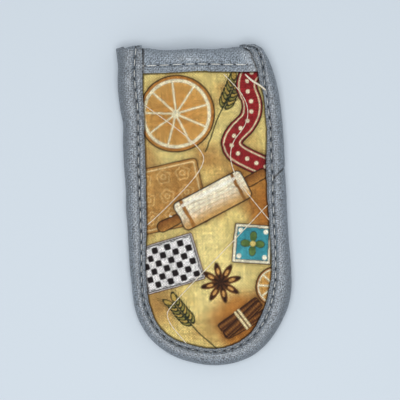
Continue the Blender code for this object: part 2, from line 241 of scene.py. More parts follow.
@dataclass(frozen=True)
class CuttingPattern:
    """Sizes of the pocket, and where each ply lies. All lengths are in metres."""

    # the outline: the closed end is half a circle, the right side leans in near the mouth
    width: float = 75.6 * MM
    length: float = 152.4 * MM
    mouth_skew: float = math.radians(3.6)
    sweep_radius: float = 43.0 * MM
    sweep_angle: float = math.radians(31.5)
    corner_radius: float = 6.5 * MM
    corner_angle: float = math.radians(60.0)
    tail: float = 5.0 * MM
    end_proud: float = 1.4 * MM

    # thicknesses, and what is left free between plies
    cloth: float = 0.4 * MM
    wadding: float = 2.4 * MM
    wadding_sewn: float = 0.8 * MM
    tape: float = 0.5 * MM
    thread: float = 0.52 * MM
    ply_gap: float = 0.3 * MM
    relief: float = 0.9 * MM

    # where the plies are sewn flat, and how far they part elsewhere
    side_zone: float = 13.0 * MM
    side_ease: float = 11.0 * MM
    mouth_zone: float = 12.0 * MM
    mouth_ease: float = 18.0 * MM
    sewn_gap: float = 0.3 * MM
    open_at_mouth: float = 7.5 * MM
    open_inside: float = 6.5 * MM
    open_start: float = 11.0 * MM
    arch_fullness: float = 0.75

    # the tapes' outer rolls, and the quilting with its lines' corners in mm
    roll_depth: float = 3.2 * MM
    mouth_roll_depth: float = 1.6 * MM
    quilt_depth: float = 0.75 * MM
    quilt_half_width: float = 4.6 * MM
    quilting: tuple = (
        ((-33.0, 54.0), (1.0, 25.0), (-0.5, 15.5), (-18.0, -0.5), (-33.0, -12.0)),
        ((7.0, 65.0), (27.5, 41.0), (7.0, 20.5), (33.0, -16.0)),
        ((33.0, 1.0), (-20.0, -46.0), (-23.0, -52.5), (-13.0, -66.0)),
        ((20.0, 61.0), (25.0, 55.2), (28.0, 53.4), (32.4, 49.4)),
    )

    @property
    def half(self) -> float:
        """Half the width, which is also the radius of the closed end."""
        return self.width / 2

    @property
    def end_y(self) -> float:
        """Height of the closed end's centre along Y."""
        return self.half - self.length / 2

    def mouth_y(self, x: Array) -> Array:
        """The outer edge of the mouth tapes at each x."""
        return self.length / 2 - self.end_proud - math.tan(self.mouth_skew) * (x + self.half)

    @property
    def right_straight(self) -> float:
        """Length of the straight right side.

        Returns:
            The length that makes the outline close at the mouth.
        """
        turned = self.sweep_angle + self.corner_angle
        rise = self.sweep_radius * math.sin(self.sweep_angle)
        rise += self.corner_radius * (math.sin(turned) - math.sin(self.sweep_angle))
        run = self.sweep_radius * (1 - math.cos(self.sweep_angle))
        run += self.corner_radius * (math.cos(self.sweep_angle) - math.cos(turned))
        top = self.mouth_y(self.half - run) + self.end_proud
        return top - rise - self.end_y

    @property
    def route(self) -> tuple[tuple[float, float], ...]:
        """(length, angle turned) of each stretch of the edge tape, from its left end.

        Returns:
            The stretches in order.
        """
        return (
            (self.length - self.half, 0.0),
            (math.pi * self.half, math.pi),
            (self.right_straight, 0.0),
            (self.sweep_radius * self.sweep_angle, self.sweep_angle),
            (self.corner_radius * self.corner_angle, self.corner_angle),
            (self.tail, 0.0),
        )

    @property
    def route_length(self) -> float:
        """Length of the edge tape along its outer fold."""
        return sum(length for length, _ in self.route)

    def walk(self, distance: Array) -> tuple[Array, Array, Array, Array]:
        """Follows the outline.

        Args:
            distance: How far along the route each point is.

        Returns:
            x, y and the two parts of the direction inwards.
        """
        x = np.full_like(distance, -self.half)
        y = np.full_like(distance, self.length / 2)
        heading = np.full_like(distance, -math.pi / 2)
        left = np.array(distance, float)
        for length, turn in self.route:
            step = np.clip(left, 0.0, length)
            turned = turn * step / length
            chord = 2 * length / turn * np.sin(turned / 2) if turn else step
            x = x + chord * np.cos(heading + turned / 2)
            y = y + chord * np.sin(heading + turned / 2)
            heading = heading + turned
            left = left - step
        return x, y, -np.sin(heading), np.cos(heading)

    def right_side_x(self, y: Array) -> Array:
        """The outline's right side above the closed end, at each y."""
        above = np.clip(y - self.end_y - self.right_straight, 0.0, 0.95 * self.sweep_radius)
        return self.half - self.sweep_radius + np.sqrt(self.sweep_radius**2 - above**2)

    def edge_inset(self, x: Array, y: Array) -> tuple[Array, Array]:
        """Distance in from the sides and the closed end, and half the width there.

        Args:
            x: Places across the pocket.
            y: Places along it.

        Returns:
            The distance and the half width, for each place.
        """
        right = self.right_side_x(y)
        half = (right + self.half) / 2
        beside = half - np.abs(x - (right - self.half) / 2)
        below = self.half - np.hypot(x, y - self.end_y)
        low = y < self.end_y
        return np.where(low, below, beside), np.where(low, self.half, half)

    def quilt_lines(self, face: Face) -> list[Array]:
        """The quilting lines of one panel, as smooth rows of points in metres."""
        turned = float(face.value)
        return [self.rounded(np.array(points) * MM * (turned, 1.0)) for points in self.quilting]

    @staticmethod
    def rounded(corners: Array, step: float = 0.8 * MM) -> Array:
        """Rounds off the corners of a row of points.

        Args:
            corners: The points, one a row.
            step: Spacing of the points of the rounded line.

        Returns:
            The rounded line's points.
        """
        middles = (corners[:-1] + corners[1:]) / 2
        knots = [corners[0], *middles, corners[-1]]
        controls = [middles[0], *corners[1:-1], middles[-1]]
        line = []
        for start, control, end in zip(knots, controls, knots[1:]):
            count = max(2, round(float(np.linalg.norm(end - start)) / step))
            t = (np.arange(count) / count)[:, None]
            line.append((1 - t) ** 2 * start + 2 * t * (1 - t) * control + t * t * end)
        return np.concatenate([*line, corners[-1:]])

    def to_quilting(self, x: Array, y: Array, face: Face) -> Array:
        """Distance from each point to one panel's quilting.

        Args:
            x: Places across the pocket.
            y: Places along it.
            face: The side of the pocket.

        Returns:
            The distance to the nearest line, for each place.
        """
        nearest = np.full_like(x, self.width)
        for line in self.quilt_lines(face):
            knots = line[::3] if len(line) > 12 else line
            for a, b in zip(knots, knots[1:]):
                nearest = np.minimum(nearest, to_stretch(x, y, a, b)[1])
        return nearest

    def levels(self, x: Array, y: Array) -> dict[str, Array]:
        """Works out the underside of each ply, from the table up.

        Args:
            x: Places across the pocket.
            y: Places along it.

        Returns:
            A height for each ply's name, and the waddings' thicknesses.
        """
        inset, half = self.edge_inset(x, y)
        from_mouth = self.mouth_y(x) - y
        side = 1.0 - smooth_step(inset, self.side_zone, self.side_ease)
        mouth = 1.0 - smooth_step(from_mouth, self.mouth_zone, self.mouth_ease)
        free = (1.0 - side) * smooth_step(from_mouth, self.mouth_zone, self.side_ease)
        wadding = self.wadding_sewn + (self.wadding - self.wadding_sewn) * free

        share = np.clip((inset - self.open_start) / (half - self.open_start), 0.0, 1.0)
        arch = smooth_step(share, 0.0, 1.0) ** self.arch_fullness
        opening = self.open_inside + (self.open_at_mouth - self.open_inside) * mouth
        inner_tape = mouth * (self.tape + self.ply_gap)
        outer_tape = inner_tape + mouth * (1.0 - side) * self.relief

        dent = {}
        for face in Face:
            near = smooth_step(self.to_quilting(x, y, face), 0.0, self.quilt_half_width)
            dent[face] = self.quilt_depth * free * (1.0 - near)
        raised = self.relief * (1.0 - side) * (1.0 - mouth)
        base = raised + side * (self.tape + self.relief + self.ply_gap) + outer_tape

        level = {"back_cover": base + dent[Face.BACK]}
        level["back_wadding"] = level["back_cover"] + self.cloth + self.ply_gap
        level["back_wadding_thickness"] = wadding - dent[Face.BACK]
        top = level["back_wadding"] + level["back_wadding_thickness"]
        level["back_lining"] = top + self.ply_gap
        level["back_top"] = level["back_lining"] + self.cloth
        level["front_lining"] = level["back_top"] + 2 * inner_tape + self.sewn_gap + opening * arch
        level["front_wadding"] = level["front_lining"] + self.cloth + self.ply_gap
        level["front_wadding_thickness"] = wadding - dent[Face.FRONT]
        top = level["front_wadding"] + level["front_wadding_thickness"]
        level["front_cover"] = top + self.ply_gap
        level["front_top"] = level["front_cover"] + self.cloth
        level["over_mouth_tape"] = level["front_top"] + outer_tape
        level["side"] = side
        return level

    def panel_place(self, column: Array, row: Array) -> tuple[Array, Array]:
        """Maps shares across and along a panel to x and y.

        Args:
            column: Share of the way across, from the left.
            row: Share of the way along, from the closed end.

        Returns:
            x and y of each.
        """
        inset = self.roll_depth + self.ply_gap
        radius = self.half - inset
        across = 2 * column - 1
        top = float(self.mouth_y(np.float64(0.0))) - self.mouth_roll_depth - self.ply_gap
        straight = top - self.end_y
        along = row * (radius + straight) - radius
        down = np.minimum(along, 0.0) / radius
        round_x = radius * across * np.sqrt(1 - down * down / 2)
        round_y = self.end_y + np.minimum(along, 0.0) * np.sqrt(1 - across * across / 2)
        side_y = self.end_y + along
        right = self.right_side_x(side_y) - inset
        side_x = -radius + (right + radius) * column
        skew = self.mouth_y(side_x) - self.mouth_y(np.float64(0.0))
        side_y = side_y + skew * np.maximum(along, 0.0) / straight
        low = along < 0
        return np.where(low, round_x, side_x), np.where(low, round_y, side_y)


# ---- making meshes


class Workbench:
    """Makes meshes with Blender's operators and hands them to the model."""

    @staticmethod
    def select(*pieces: Object) -> None:
        """Selects these pieces alone, so that an operator acts on no others."""
        bpy.ops.object.select_all(action="DESELECT")
        for piece in pieces:
            piece.select_set(True)
            bpy.context.view_layer.objects.active = piece

    @classmethod
    def sheet(cls, name: str, places: Array, marks: dict[str, Array]) -> Object:
        """Lays a grid primitive out as a sheet of cloth.

        Args:
            name: The piece's name.
            places: Points of shape (rows, columns, 3), in metres.
            marks: UV maps by name, each of shape (rows, columns, 2).

        Returns:
            The sheet, smooth, with its UV maps.
        """
        rows, columns = places.shape[:2]
        cls.select()
        cells = {"x_subdivisions": columns - 1, "y_subdivisions": rows - 1}
        bpy.ops.mesh.primitive_grid_add(size=1.0, **cells)
        piece = bpy.context.object
        mesh = piece.data
        piece.name = mesh.name = name
        mesh.vertices.foreach_set("co", places.reshape(-1, 3).astype(np.float32).ravel())
        corner = np.empty(len(mesh.loops), np.int32)
        mesh.loops.foreach_get("vertex_index", corner)
        while mesh.uv_layers:
            mesh.uv_layers.remove(mesh.uv_layers[0])
        for mark, values in marks.items():
            layer = mesh.uv_layers.new(name=mark)
            spread = values.reshape(-1, 2).astype(np.float32)
            layer.data.foreach_set("uv", spread[corner].ravel())
        mesh.update()
        bpy.ops.object.shade_smooth()
        return piece

    @staticmethod
    def points(piece: Object) -> Array:
        """The places of a piece's points, one a row.

        Args:
            piece: The piece.

        Returns:
            An array of shape (count, 3).
        """
        places = np.empty(len(piece.data.vertices) * 3, np.float32)
        piece.data.vertices.foreach_get("co", places)
        return places.reshape(-1, 3).astype(float)

    @classmethod
    def crease(cls, piece: Object, folds: list[Array], width: float) -> None:
        """Marks how deep each point lies in the crease beside a fold, for the shade painted there.

        Args:
            piece: The piece that a fold lies on.
            folds: The folds' points.
            width: How far the crease reaches.
        """
        places = cls.points(piece)
        near = np.min([nearest_on(places, fold)[1] for fold in folds], axis=0)
        depth = 1.0 - smooth_step(near, 0.4 * width, 0.7 * width)
        # painted shade: how deep each point lies in a crease, which the finishes darken the colour
        # by
        mark = piece.data.attributes.new("crease", "FLOAT", "POINT")
        mark.data.foreach_set("value", depth.astype(np.float32))

    @classmethod
    def apply(cls, piece: Object, kind: str, **settings: Any) -> None:
        """Adds one modifier with its settings and applies it.

        Args:
            piece: The piece.
            kind: The modifier's type.
            **settings: The modifier's own settings.
        """
        cls.select(piece)
        modifier = piece.modifiers.new(kind.lower(), kind)
        for key, value in settings.items():
            setattr(modifier, key, value)
        bpy.ops.object.modifier_apply(modifier=modifier.name)

    @classmethod
    def thicken(cls, piece: Object, thickness: float) -> None:
        """Gives a sheet its thickness, half on each side, and rounds its cut edges.

        Args:
            piece: The piece.
            thickness: The cloth's thickness.
        """
        cls.apply(piece, "SOLIDIFY", thickness=thickness, offset=0.0)
        edge = {"width": 0.38 * thickness, "segments": 2}
        cls.apply(piece, "BEVEL", **edge, limit_method="ANGLE", angle_limit=math.radians(60))

    @classmethod
    def turn_over(cls, piece: Object) -> None:
        """Turns a sheet's faces to the other side.

        Args:
            piece: The piece.
        """
        cls.select(piece)
        bpy.ops.object.mode_set(mode="EDIT")
        bpy.ops.mesh.select_all(action="SELECT")
        bpy.ops.mesh.flip_normals()
        bpy.ops.object.mode_set(mode="OBJECT")

    @classmethod
    def threads(cls, name: str, strands: list[Array], radius: float) -> Object:
        """Makes lengths of thread, each a thin round curve with closed ends.

        Args:
            name: The piece's name.
            strands: One array of points for each length of thread.
            radius: The thread's radius.

        Returns:
            All the lengths as one mesh.
        """
        curve = bpy.data.curves.new(name, "CURVE")
        curve.dimensions = "3D"
        curve.bevel_depth = radius
        curve.bevel_resolution = 1
        curve.use_fill_caps = True
        for points in strands:
            spline = curve.splines.new("POLY")
            spline.points.add(len(points) - 1)
            share = np.linspace(0.0, 1.0, len(points))
            placed = np.c_[points, np.ones(len(points))].astype(np.float32)
            spline.points.foreach_set("co", placed.ravel())
            taper = 0.55 + 0.45 * np.sin(math.pi * np.clip(share, 0.04, 0.96)) ** 0.5
            spline.points.foreach_set("radius", taper.astype(np.float32))
        piece = bpy.data.objects.new(name, curve)
        bpy.context.scene.collection.objects.link(piece)
        cls.select(piece)
        bpy.ops.object.convert(target="MESH")
        piece = bpy.context.object
        piece.name = name
        bpy.ops.object.shade_smooth()
        return piece

    @staticmethod
    def hand_over(
        piece: Object, material: Material, slot: str, node: Optional[str] = None
    ) -> Object:
        """Gives a piece its material, puts it on the pocket's body and hides the solid that it
        stands for.

        Args:
            piece: The finished piece, which rides on the pocket's one body.
            material: What it is made of.
            slot: The record's material slot that it belongs to; not used.
            node: The solid that it stands for, where there is one.

        Returns:
            The piece.
        """
        piece.data.materials.append(material)
        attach(piece, "root")
        if node:
            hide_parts(node)
        return piece


# ---- finishes


def linear(hex_colour: str) -> tuple[float, float, float, float]:
    """Turns an sRGB hex colour such as '#A0B1C2' to linear red, green, blue and 1.

    Args:
        hex_colour: The colour, as # and six digits.

    Returns:
        Red, green and blue as the renderer counts them, and 1.
    """
    parts = [int(hex_colour[i : i + 2], 16) / 255 for i in (1, 3, 5)]
    turned = [p / 12.92 if p <= 0.04045 else ((p + 0.055) / 1.055) ** 2.4 for p in parts]
    return (*turned, 1.0)


def add_node(
    tree: Tree, kind: str, feeds: Optional[dict[Any, Any]] = None, **settings: Any
) -> Node:
    """Adds one node, with its settings, its values and what is linked to it.

    Args:
        tree: The node tree.
        kind: The node's type, after the ShaderNode that they all begin with.
        feeds: A value, an output or a node, for its first output, for each socket.
        **settings: The node's own settings.

    Returns:
        The new node.
    """
    made = tree.nodes.new(f"ShaderNode{kind}")
    for key, value in settings.items():
        setattr(made, key, value)
    for socket, value in (feeds or {}).items():
        if isinstance(value, Node):
            value = value.outputs[0]
        if isinstance(value, Socket):
            tree.links.new(value, made.inputs[socket])
        else:
            made.inputs[socket].default_value = value
    return made


@dataclass(frozen=True)
class Weave:
    """A plain weave: thread spacing, the angle it was cut at and how far its warp stands out."""

    spacing: float
    angle: float = 0.0
    rib: float = 0.0  # 0 for even threads, 1 for a warp that hides the weft
    sway: float = 0.8  # how far threads stray from straight, in spacings
    sway_scale: float = 0.11  # and how often, for one spacing

    def build(self, tree: Tree, uv_map: str) -> Socket:
        """Adds the weave's height, from -1 in the holes to 1 on the threads.

        Args:
            tree: The material's node tree.
            uv_map: The UV map, in metres, that the threads follow.

        Returns:
            The height's socket.
        """
        uv = add_node(tree, "UVMap", uv_map=uv_map)
        strays = {"Vector": uv, "Scale": self.sway_scale / self.spacing, "Detail": 2.0}
        noise = add_node(tree, "TexNoise", strays).outputs["Color"]
        moves = {0: noise, 1: (self.sway * self.spacing,) * 3, 2: uv}
        moved = add_node(tree, "VectorMath", moves, operation="MULTIPLY_ADD")
        turns = {"Rotation": (0.0, 0.0, self.angle), "Scale": (math.tau / self.spacing,) * 3}
        turned = add_node(tree, "Mapping", {"Vector": moved, **turns})
        ways = add_node(tree, "SeparateXYZ", {0: turned}).outputs[:2]
        warp, weft = (add_node(tree, "Math", {0: way}, operation="SINE") for way in ways)
        shown = {0: weft, 1: 1.0 - self.rib, 2: self.rib}
        hidden = add_node(tree, "Math", shown, operation="MULTIPLY_ADD")
        return add_node(tree, "Math", {0: warp, 1: hidden}, operation="MULTIPLY").outputs[0]


@dataclass(frozen=True)
class Finish:
    """What every cloth finish has: a name, a colour, how it takes the light and its fine relief."""

    name: str
    colour: str
    roughness: float = 0.9
    specular: float = 0.25
    sheen: float = 0.1
    sheen_tint: str = "#FFFFFF"
    relief: float = 0.5
    relief_depth: float = 0.1 * MM

    def start(self) -> tuple[Material, Tree, Node]:
        """Makes the material with its shader, whose plain values are set on its sockets.

        Returns:
            The material, its node tree and its shader.
        """
        material = bpy.data.materials.new(self.name)
        material.use_nodes = True
        shader = material.node_tree.nodes["Principled BSDF"]
        plain = {
            "Base Color": linear(self.colour),
            "Roughness": self.roughness,
            "Metallic": 0.0,
            "IOR": 1.5,
            "Specular IOR Level": self.specular,
            "Sheen Weight": self.sheen,
            "Sheen Roughness": 0.5,
            "Sheen Tint": linear(self.sheen_tint),
        }
        for socket, value in plain.items():
            shader.inputs[socket].default_value = value
        return material, material.node_tree, shader

    def end(self, shader: Node, colour: Socket, height: Optional[Socket] = None) -> None:
        """Links what was worked out to the shader.

        Args:
            shader: The material's shader.
            colour: Its colour.
            height: Its relief, from -1 to 1, if it has one that is too fine for the mesh.
        """
        tree = shader.id_data
        tree.links.new(colour, shader.inputs["Base Color"])
        if height:
            feeds = {"Strength": self.relief, "Distance": self.relief_depth, "Height": height}
            tree.links.new(add_node(tree, "Bump", feeds).outputs[0], shader.inputs["Normal"])

    @staticmethod
    def shade(tree: Tree, colour: Any, amount: Any, low: float, high: float) -> Socket:
        """Multiplies a colour by a value read between two limits.

        Args:
            tree: The material's node tree.
            colour: A colour socket or a plain colour.
            amount: A value from -1 to 1.
            low: What the colour is multiplied by at -1.
            high: What it is multiplied by at 1.

        Returns:
            The shaded colour's socket.
        """
        limits = {0: amount, 1: -1.0, 2: 1.0, 3: low, 4: high}
        spread = add_node(tree, "MapRange", limits, clamp=True)
        grey = add_node(tree, "CombineColor", {0: spread, 1: spread, 2: spread})
        both = {0: 1.0, 6: colour, 7: grey}
        return add_node(tree, "Mix", both, data_type="RGBA", blend_type="MULTIPLY").outputs[2]

    @staticmethod
    def signed_noise(tree: Tree, size: float, detail: float = 3.0, spread: float = 0.25) -> Socket:
        """Adds noise, read from -1 to 1.

        Args:
            tree: The material's node tree.
            size: Width of a patch, in metres.
            detail: How many finer sizes are laid over it.
            spread: How far from the middle the noise reaches -1 and 1; less is harder.

        Returns:
            The noise's socket.
        """
        place = add_node(tree, "TexCoord").outputs["Object"]
        noise = add_node(tree, "TexNoise", {"Vector": place, "Scale": 1.0 / size, "Detail": detail})
        limits = {0: noise.outputs["Fac"], 1: 0.5 - spread, 2: 0.5 + spread, 3: -1.0, 4: 1.0}
        return add_node(tree, "MapRange", limits).outputs[0]

    @staticmethod
    def mottle(tree: Tree, colour: Socket, size: float, depth: float) -> Socket:
        """Varies a colour channel by channel, as dye on single fibres does.

        Args:
            tree: The material's node tree.
            colour: The colour's socket.
            size: Width of a speck, in metres.
            depth: How strongly it varies.

        Returns:
            The mottled colour's socket.
        """
        place = add_node(tree, "TexCoord").outputs["Object"]
        noise = add_node(tree, "TexNoise", {"Vector": place, "Scale": 1.0 / size, "Detail": 1.0})
        specks = {0: noise.outputs["Color"], 1: (depth,) * 3, 2: (1.0 - depth / 2,) * 3}
        factor = add_node(tree, "VectorMath", specks, operation="MULTIPLY_ADD")
        both = {0: 1.0, 6: colour, 7: factor}
        return add_node(tree, "Mix", both, data_type="RGBA", blend_type="MULTIPLY").outputs[2]

    @classmethod
    def crease_shaded(cls, tree: Tree, colour: Socket, depth: float) -> Socket:
        """Darkens a colour in the creases beside the folds: painted shade where the folds shade the
        cloth.

        Args:
            tree: The material's node tree.
            colour: The colour's socket.
            depth: How much darker the deepest crease is, from 0 to 1.

        Returns:
            The darkened colour's socket.
        """
        mark = add_node(tree, "Attribute", attribute_name="crease").outputs["Fac"]
        turned = add_node(tree, "Math", {0: mark, 1: -2.0, 2: 1.0}, operation="MULTIPLY_ADD")
        return cls.shade(tree, colour, turned, 1.0 - depth, 1.0)


@dataclass(frozen=True)
class PrintedCotton(Finish):
    """Quilting cotton, plain-woven and screen-printed: flat pigment that the weave breaks up."""

    relief: float = 0.35
    relief_depth: float = 0.12 * MM
    # real threads are 0.33 mm apart, too fine to show
    weave: Weave = Weave(spacing=1.25 * MM, rib=0.15)
    threads: Limits = (0.72, 1.26)
    fleck: float = 0.62 * MM
    flecks: Limits = (0.70, 1.24)
    speck: float = 1.2 * MM
    wash: float = 9.0 * MM
    washes: Limits = (0.93, 1.05)
    # painted shade in the creases beside the tapes' folds
    crease_shade_depth: float = 0.8

    def build(self) -> Material:
        """Makes the material, whose print is the sheet's own colour attribute.

        Returns:
            The finished material.
        """
        material, tree, shader = self.start()
        colour = add_node(tree, "Attribute", attribute_name="print").outputs["Color"]
        height = self.weave.build(tree, "cloth")
        colour = self.shade(tree, colour, height, *self.threads)
        missed = self.signed_noise(tree, self.fleck, 1.0, 0.2)
        colour = self.shade(tree, colour, missed, *self.flecks)
        colour = self.mottle(tree, colour, self.speck, 0.10)
        colour = self.shade(tree, colour, self.signed_noise(tree, self.wash), *self.washes)
        # painted shade in the creases beside the tapes' folds
        self.end(shader, self.crease_shaded(tree, colour, self.crease_shade_depth), height)
        return material


@dataclass(frozen=True)
class BiasTape(Finish):
    """Polycotton bias binding, calendered: a faint sheen and a fine weave at 45 degrees."""

    # real threads are 0.25 mm apart, drawn coarser so that their slant still shows
    weave: Weave = Weave(spacing=1.2 * MM, angle=math.radians(45), rib=0.28)
    threads: Limits = (0.54, 1.46)
    fleck: float = 0.6 * MM
    # grain, with glints painted into the colour, brightest on the crest
    grain_and_painted_glints: Limits = (0.38, 1.62)
    gloss: Limits = (0.2, -0.1)  # what the glints add to the roughness
    speck: float = 1.3 * MM
    patch: float = 14.0 * MM
    patches: Limits = (0.93, 1.06)
    # painted shade in the creases beside folds and along the join
    crease_shade_depth: float = 0.92
    rim_shade: float = 0.84  # painted shade on the outer edge, where the roll turns away from the light
    flange_shade: float = 0.88  # the flat part lies in the roll's shade
    seam_shade: float = 0.82  # painted shade in the valley of the drawn-in seam
    # painted shade in the needle holes
    needle_hole_shade: str = "#121419"
    hole_scale: tuple = (7.4, 1.7, 0.0)  # for each stitch along the seam and mm across it

    def build(self) -> Material:
        """Makes the material, with painted shade in the needle holes along the tape's seam.

        Returns:
            The finished material.
        """
        material, tree, shader = self.start()
        height = self.weave.build(tree, "cloth")
        fleck = self.signed_noise(tree, self.fleck, 1.0, 0.15)
        seam = add_node(tree, "SeparateXYZ", {0: add_node(tree, "UVMap", uv_map="seam")})
        stitch, from_seam = seam.outputs[:2]
        # painted glints: the threads and flecks show less towards the outer edge, away from the
        # crest that catches the light
        painted_glint_fade = add_node(tree, "MapRange", {0: from_seam, 1: -6.5, 2: -4.0, 3: 0.6, 4: 1.0})
        colour = linear(self.colour)
        for relief, limits in ((height, self.threads), (fleck, self.grain_and_painted_glints)):
            faded = add_node(tree, "Math", {0: relief, 1: painted_glint_fade}, operation="MULTIPLY")
            colour = self.shade(tree, colour, faded, *limits)
        colour = self.mottle(tree, colour, self.speck, 0.06)
        colour = self.shade(tree, colour, self.signed_noise(tree, self.patch), *self.patches)
        # painted shade in the creases beside folds and along the join
        colour = self.crease_shaded(tree, colour, self.crease_shade_depth)

        beside = add_node(tree, "Math", {0: from_seam, 1: 0.35}, operation="SUBTRACT")
        away = add_node(tree, "Math", {0: beside}, operation="ABSOLUTE")
        soft = {"interpolation_type": "SMOOTHSTEP"}
        # where each shade is full and where it ends, in mm from the seam
        for place, full, end, low in (
            (from_seam, -6.8, -4.2, self.rim_shade),
            (from_seam, 1.0, -0.6, self.flange_shade),
            (away, 0.1, 1.1, self.seam_shade),
        ):
            rise = add_node(tree, "MapRange", {0: place, 1: full, 2: end, 3: -1.0, 4: 1.0}, **soft)
            colour = self.shade(tree, colour, rise, low, 1.0)

        # painted shade where the needle went in, one hole for each stitch
        shifted = add_node(tree, "Math", {0: stitch, 1: 0.5}, operation="ADD")
        turn = add_node(tree, "Math", {0: shifted}, operation="FRACT")
        centred = add_node(tree, "Math", {0: turn, 1: 0.5}, operation="SUBTRACT")
        pair = add_node(tree, "CombineXYZ", {0: centred, 1: from_seam})
        scaled = add_node(tree, "VectorMath", {0: pair, 1: self.hole_scale}, operation="MULTIPLY")
        off = add_node(tree, "VectorMath", {0: scaled}, operation="LENGTH").outputs["Value"]
        hole = add_node(tree, "MapRange", {0: off, 1: 0.5, 2: 1.1, 3: 0.92, 4: 0.0}, **soft)
        both = {0: hole, 6: colour, 7: linear(self.needle_hole_shade)}
        holed = add_node(tree, "Mix", both, data_type="RGBA").outputs[2]

        dull, bright = (self.roughness + change for change in self.gloss)
        gloss = add_node(tree, "MapRange", {0: fleck, 1: -1.0, 2: 1.0, 3: dull, 4: bright})
        tree.links.new(gloss.outputs[0], shader.inputs["Roughness"])
        self.end(shader, holed, height)
        return material


@dataclass(frozen=True)
class SpunThread(Finish):
    """Spun polyester sewing thread: two plies twisted, with a little fuzz and shine."""

    twist: float = 0.9 * MM  # a real twist is 0.5 mm, too fine to show
    slant: tuple = (0.4, 0.3, 0.8)
    plies: Limits = (0.82, 1.06)

    def build(self) -> Material:
        """Makes the material, with the twist as slanting dark lines.

        Returns:
            The finished material.
        """
        material, tree, shader = self.start()
        place = add_node(tree, "TexCoord").outputs["Object"]
        turned = add_node(tree, "Mapping", {"Vector": place, "Rotation": self.slant})
        # a wave node's lines are 0.314 apart at scale 1
        waves = {"Vector": turned, "Scale": 0.314 / self.twist, "Distortion": 1.5}
        lines = add_node(tree, "TexWave", waves).outputs["Fac"]
        spread = add_node(tree, "MapRange", {0: lines, 3: -1.0, 4: 1.0})
        self.end(shader, self.shade(tree, linear(self.colour), spread, *self.plies))
        return material


@dataclass(frozen=True)
class Calico(Finish):
    """Unbleached calico lining: plain-woven, matt, with slubs and dark seed flecks."""

    relief_depth: float = 0.15 * MM
    weave: Weave = Weave(spacing=1.0 * MM)  # real threads are 0.4 mm apart
    threads: Limits = (0.88, 1.06)
    slub: float = 2.2 * MM
    slubs: Limits = (0.90, 1.06)

    def build(self) -> Material:
        """Makes the material.

        Returns:
            The finished material.
        """
        material, tree, shader = self.start()
        height = self.weave.build(tree, "cloth")
        woven = self.shade(tree, linear(self.colour), height, *self.threads)
        slub = self.signed_noise(tree, self.slub, 4.0)
        self.end(shader, self.shade(tree, woven, slub, *self.slubs), height)
        return material


@dataclass(frozen=True)
class NeedledWadding(Finish):
    """Needle-punched cotton wadding: matted fibres with no gloss at all."""

    relief: float = 0.8
    relief_depth: float = 0.3 * MM
    tuft: float = 1.8 * MM
    tufts: Limits = (0.82, 1.08)

    def build(self) -> Material:
        """Makes the material.

        Returns:
            The finished material.
        """
        material, tree, shader = self.start()
        height = self.signed_noise(tree, self.tuft, 6.0)
        self.end(shader, self.shade(tree, linear(self.colour), height, *self.tufts), height)
        return material


@dataclass
class Wardrobe:
    """All the finishes, each made once."""

    printed: Material = field(init=False)
    edge_tape: Material = field(init=False)
    mouth_tape: Material = field(init=False)
    seam_thread: Material = field(init=False)
    quilting_thread: Material = field(init=False)
    calico: Material = field(init=False)
    wadding: Material = field(init=False)

    def __post_init__(self) -> None:
        """Makes the materials."""
        tape = {"roughness": 0.36, "specular": 1.0, "sheen": 0.0}
        self.printed = PrintedCotton("screen_printed_quilting_cotton", "#D9C27A").build()
        self.edge_tape = BiasTape("calendered_bias_tape_edge", "#707983", **tape).build()
        # the same tape as the edge, its colour painted lighter for the light that the mouth's
        # raised roll catches
        self.mouth_tape = BiasTape("calendered_bias_tape_mouth", "#858F9A", **tape).build()
        self.seam_thread = SpunThread("spun_polyester_seam_thread", "#EEEDE7", 0.6).build()
        self.quilting_thread = SpunThread("spun_polyester_quilting_thread", "#F4EAD6", 0.6).build()
        self.calico = Calico("unbleached_calico", "#C9BE9F").build()
        self.wadding = NeedledWadding("needle_punched_cotton_wadding", "#D8D3C4").build()


# ---- the print


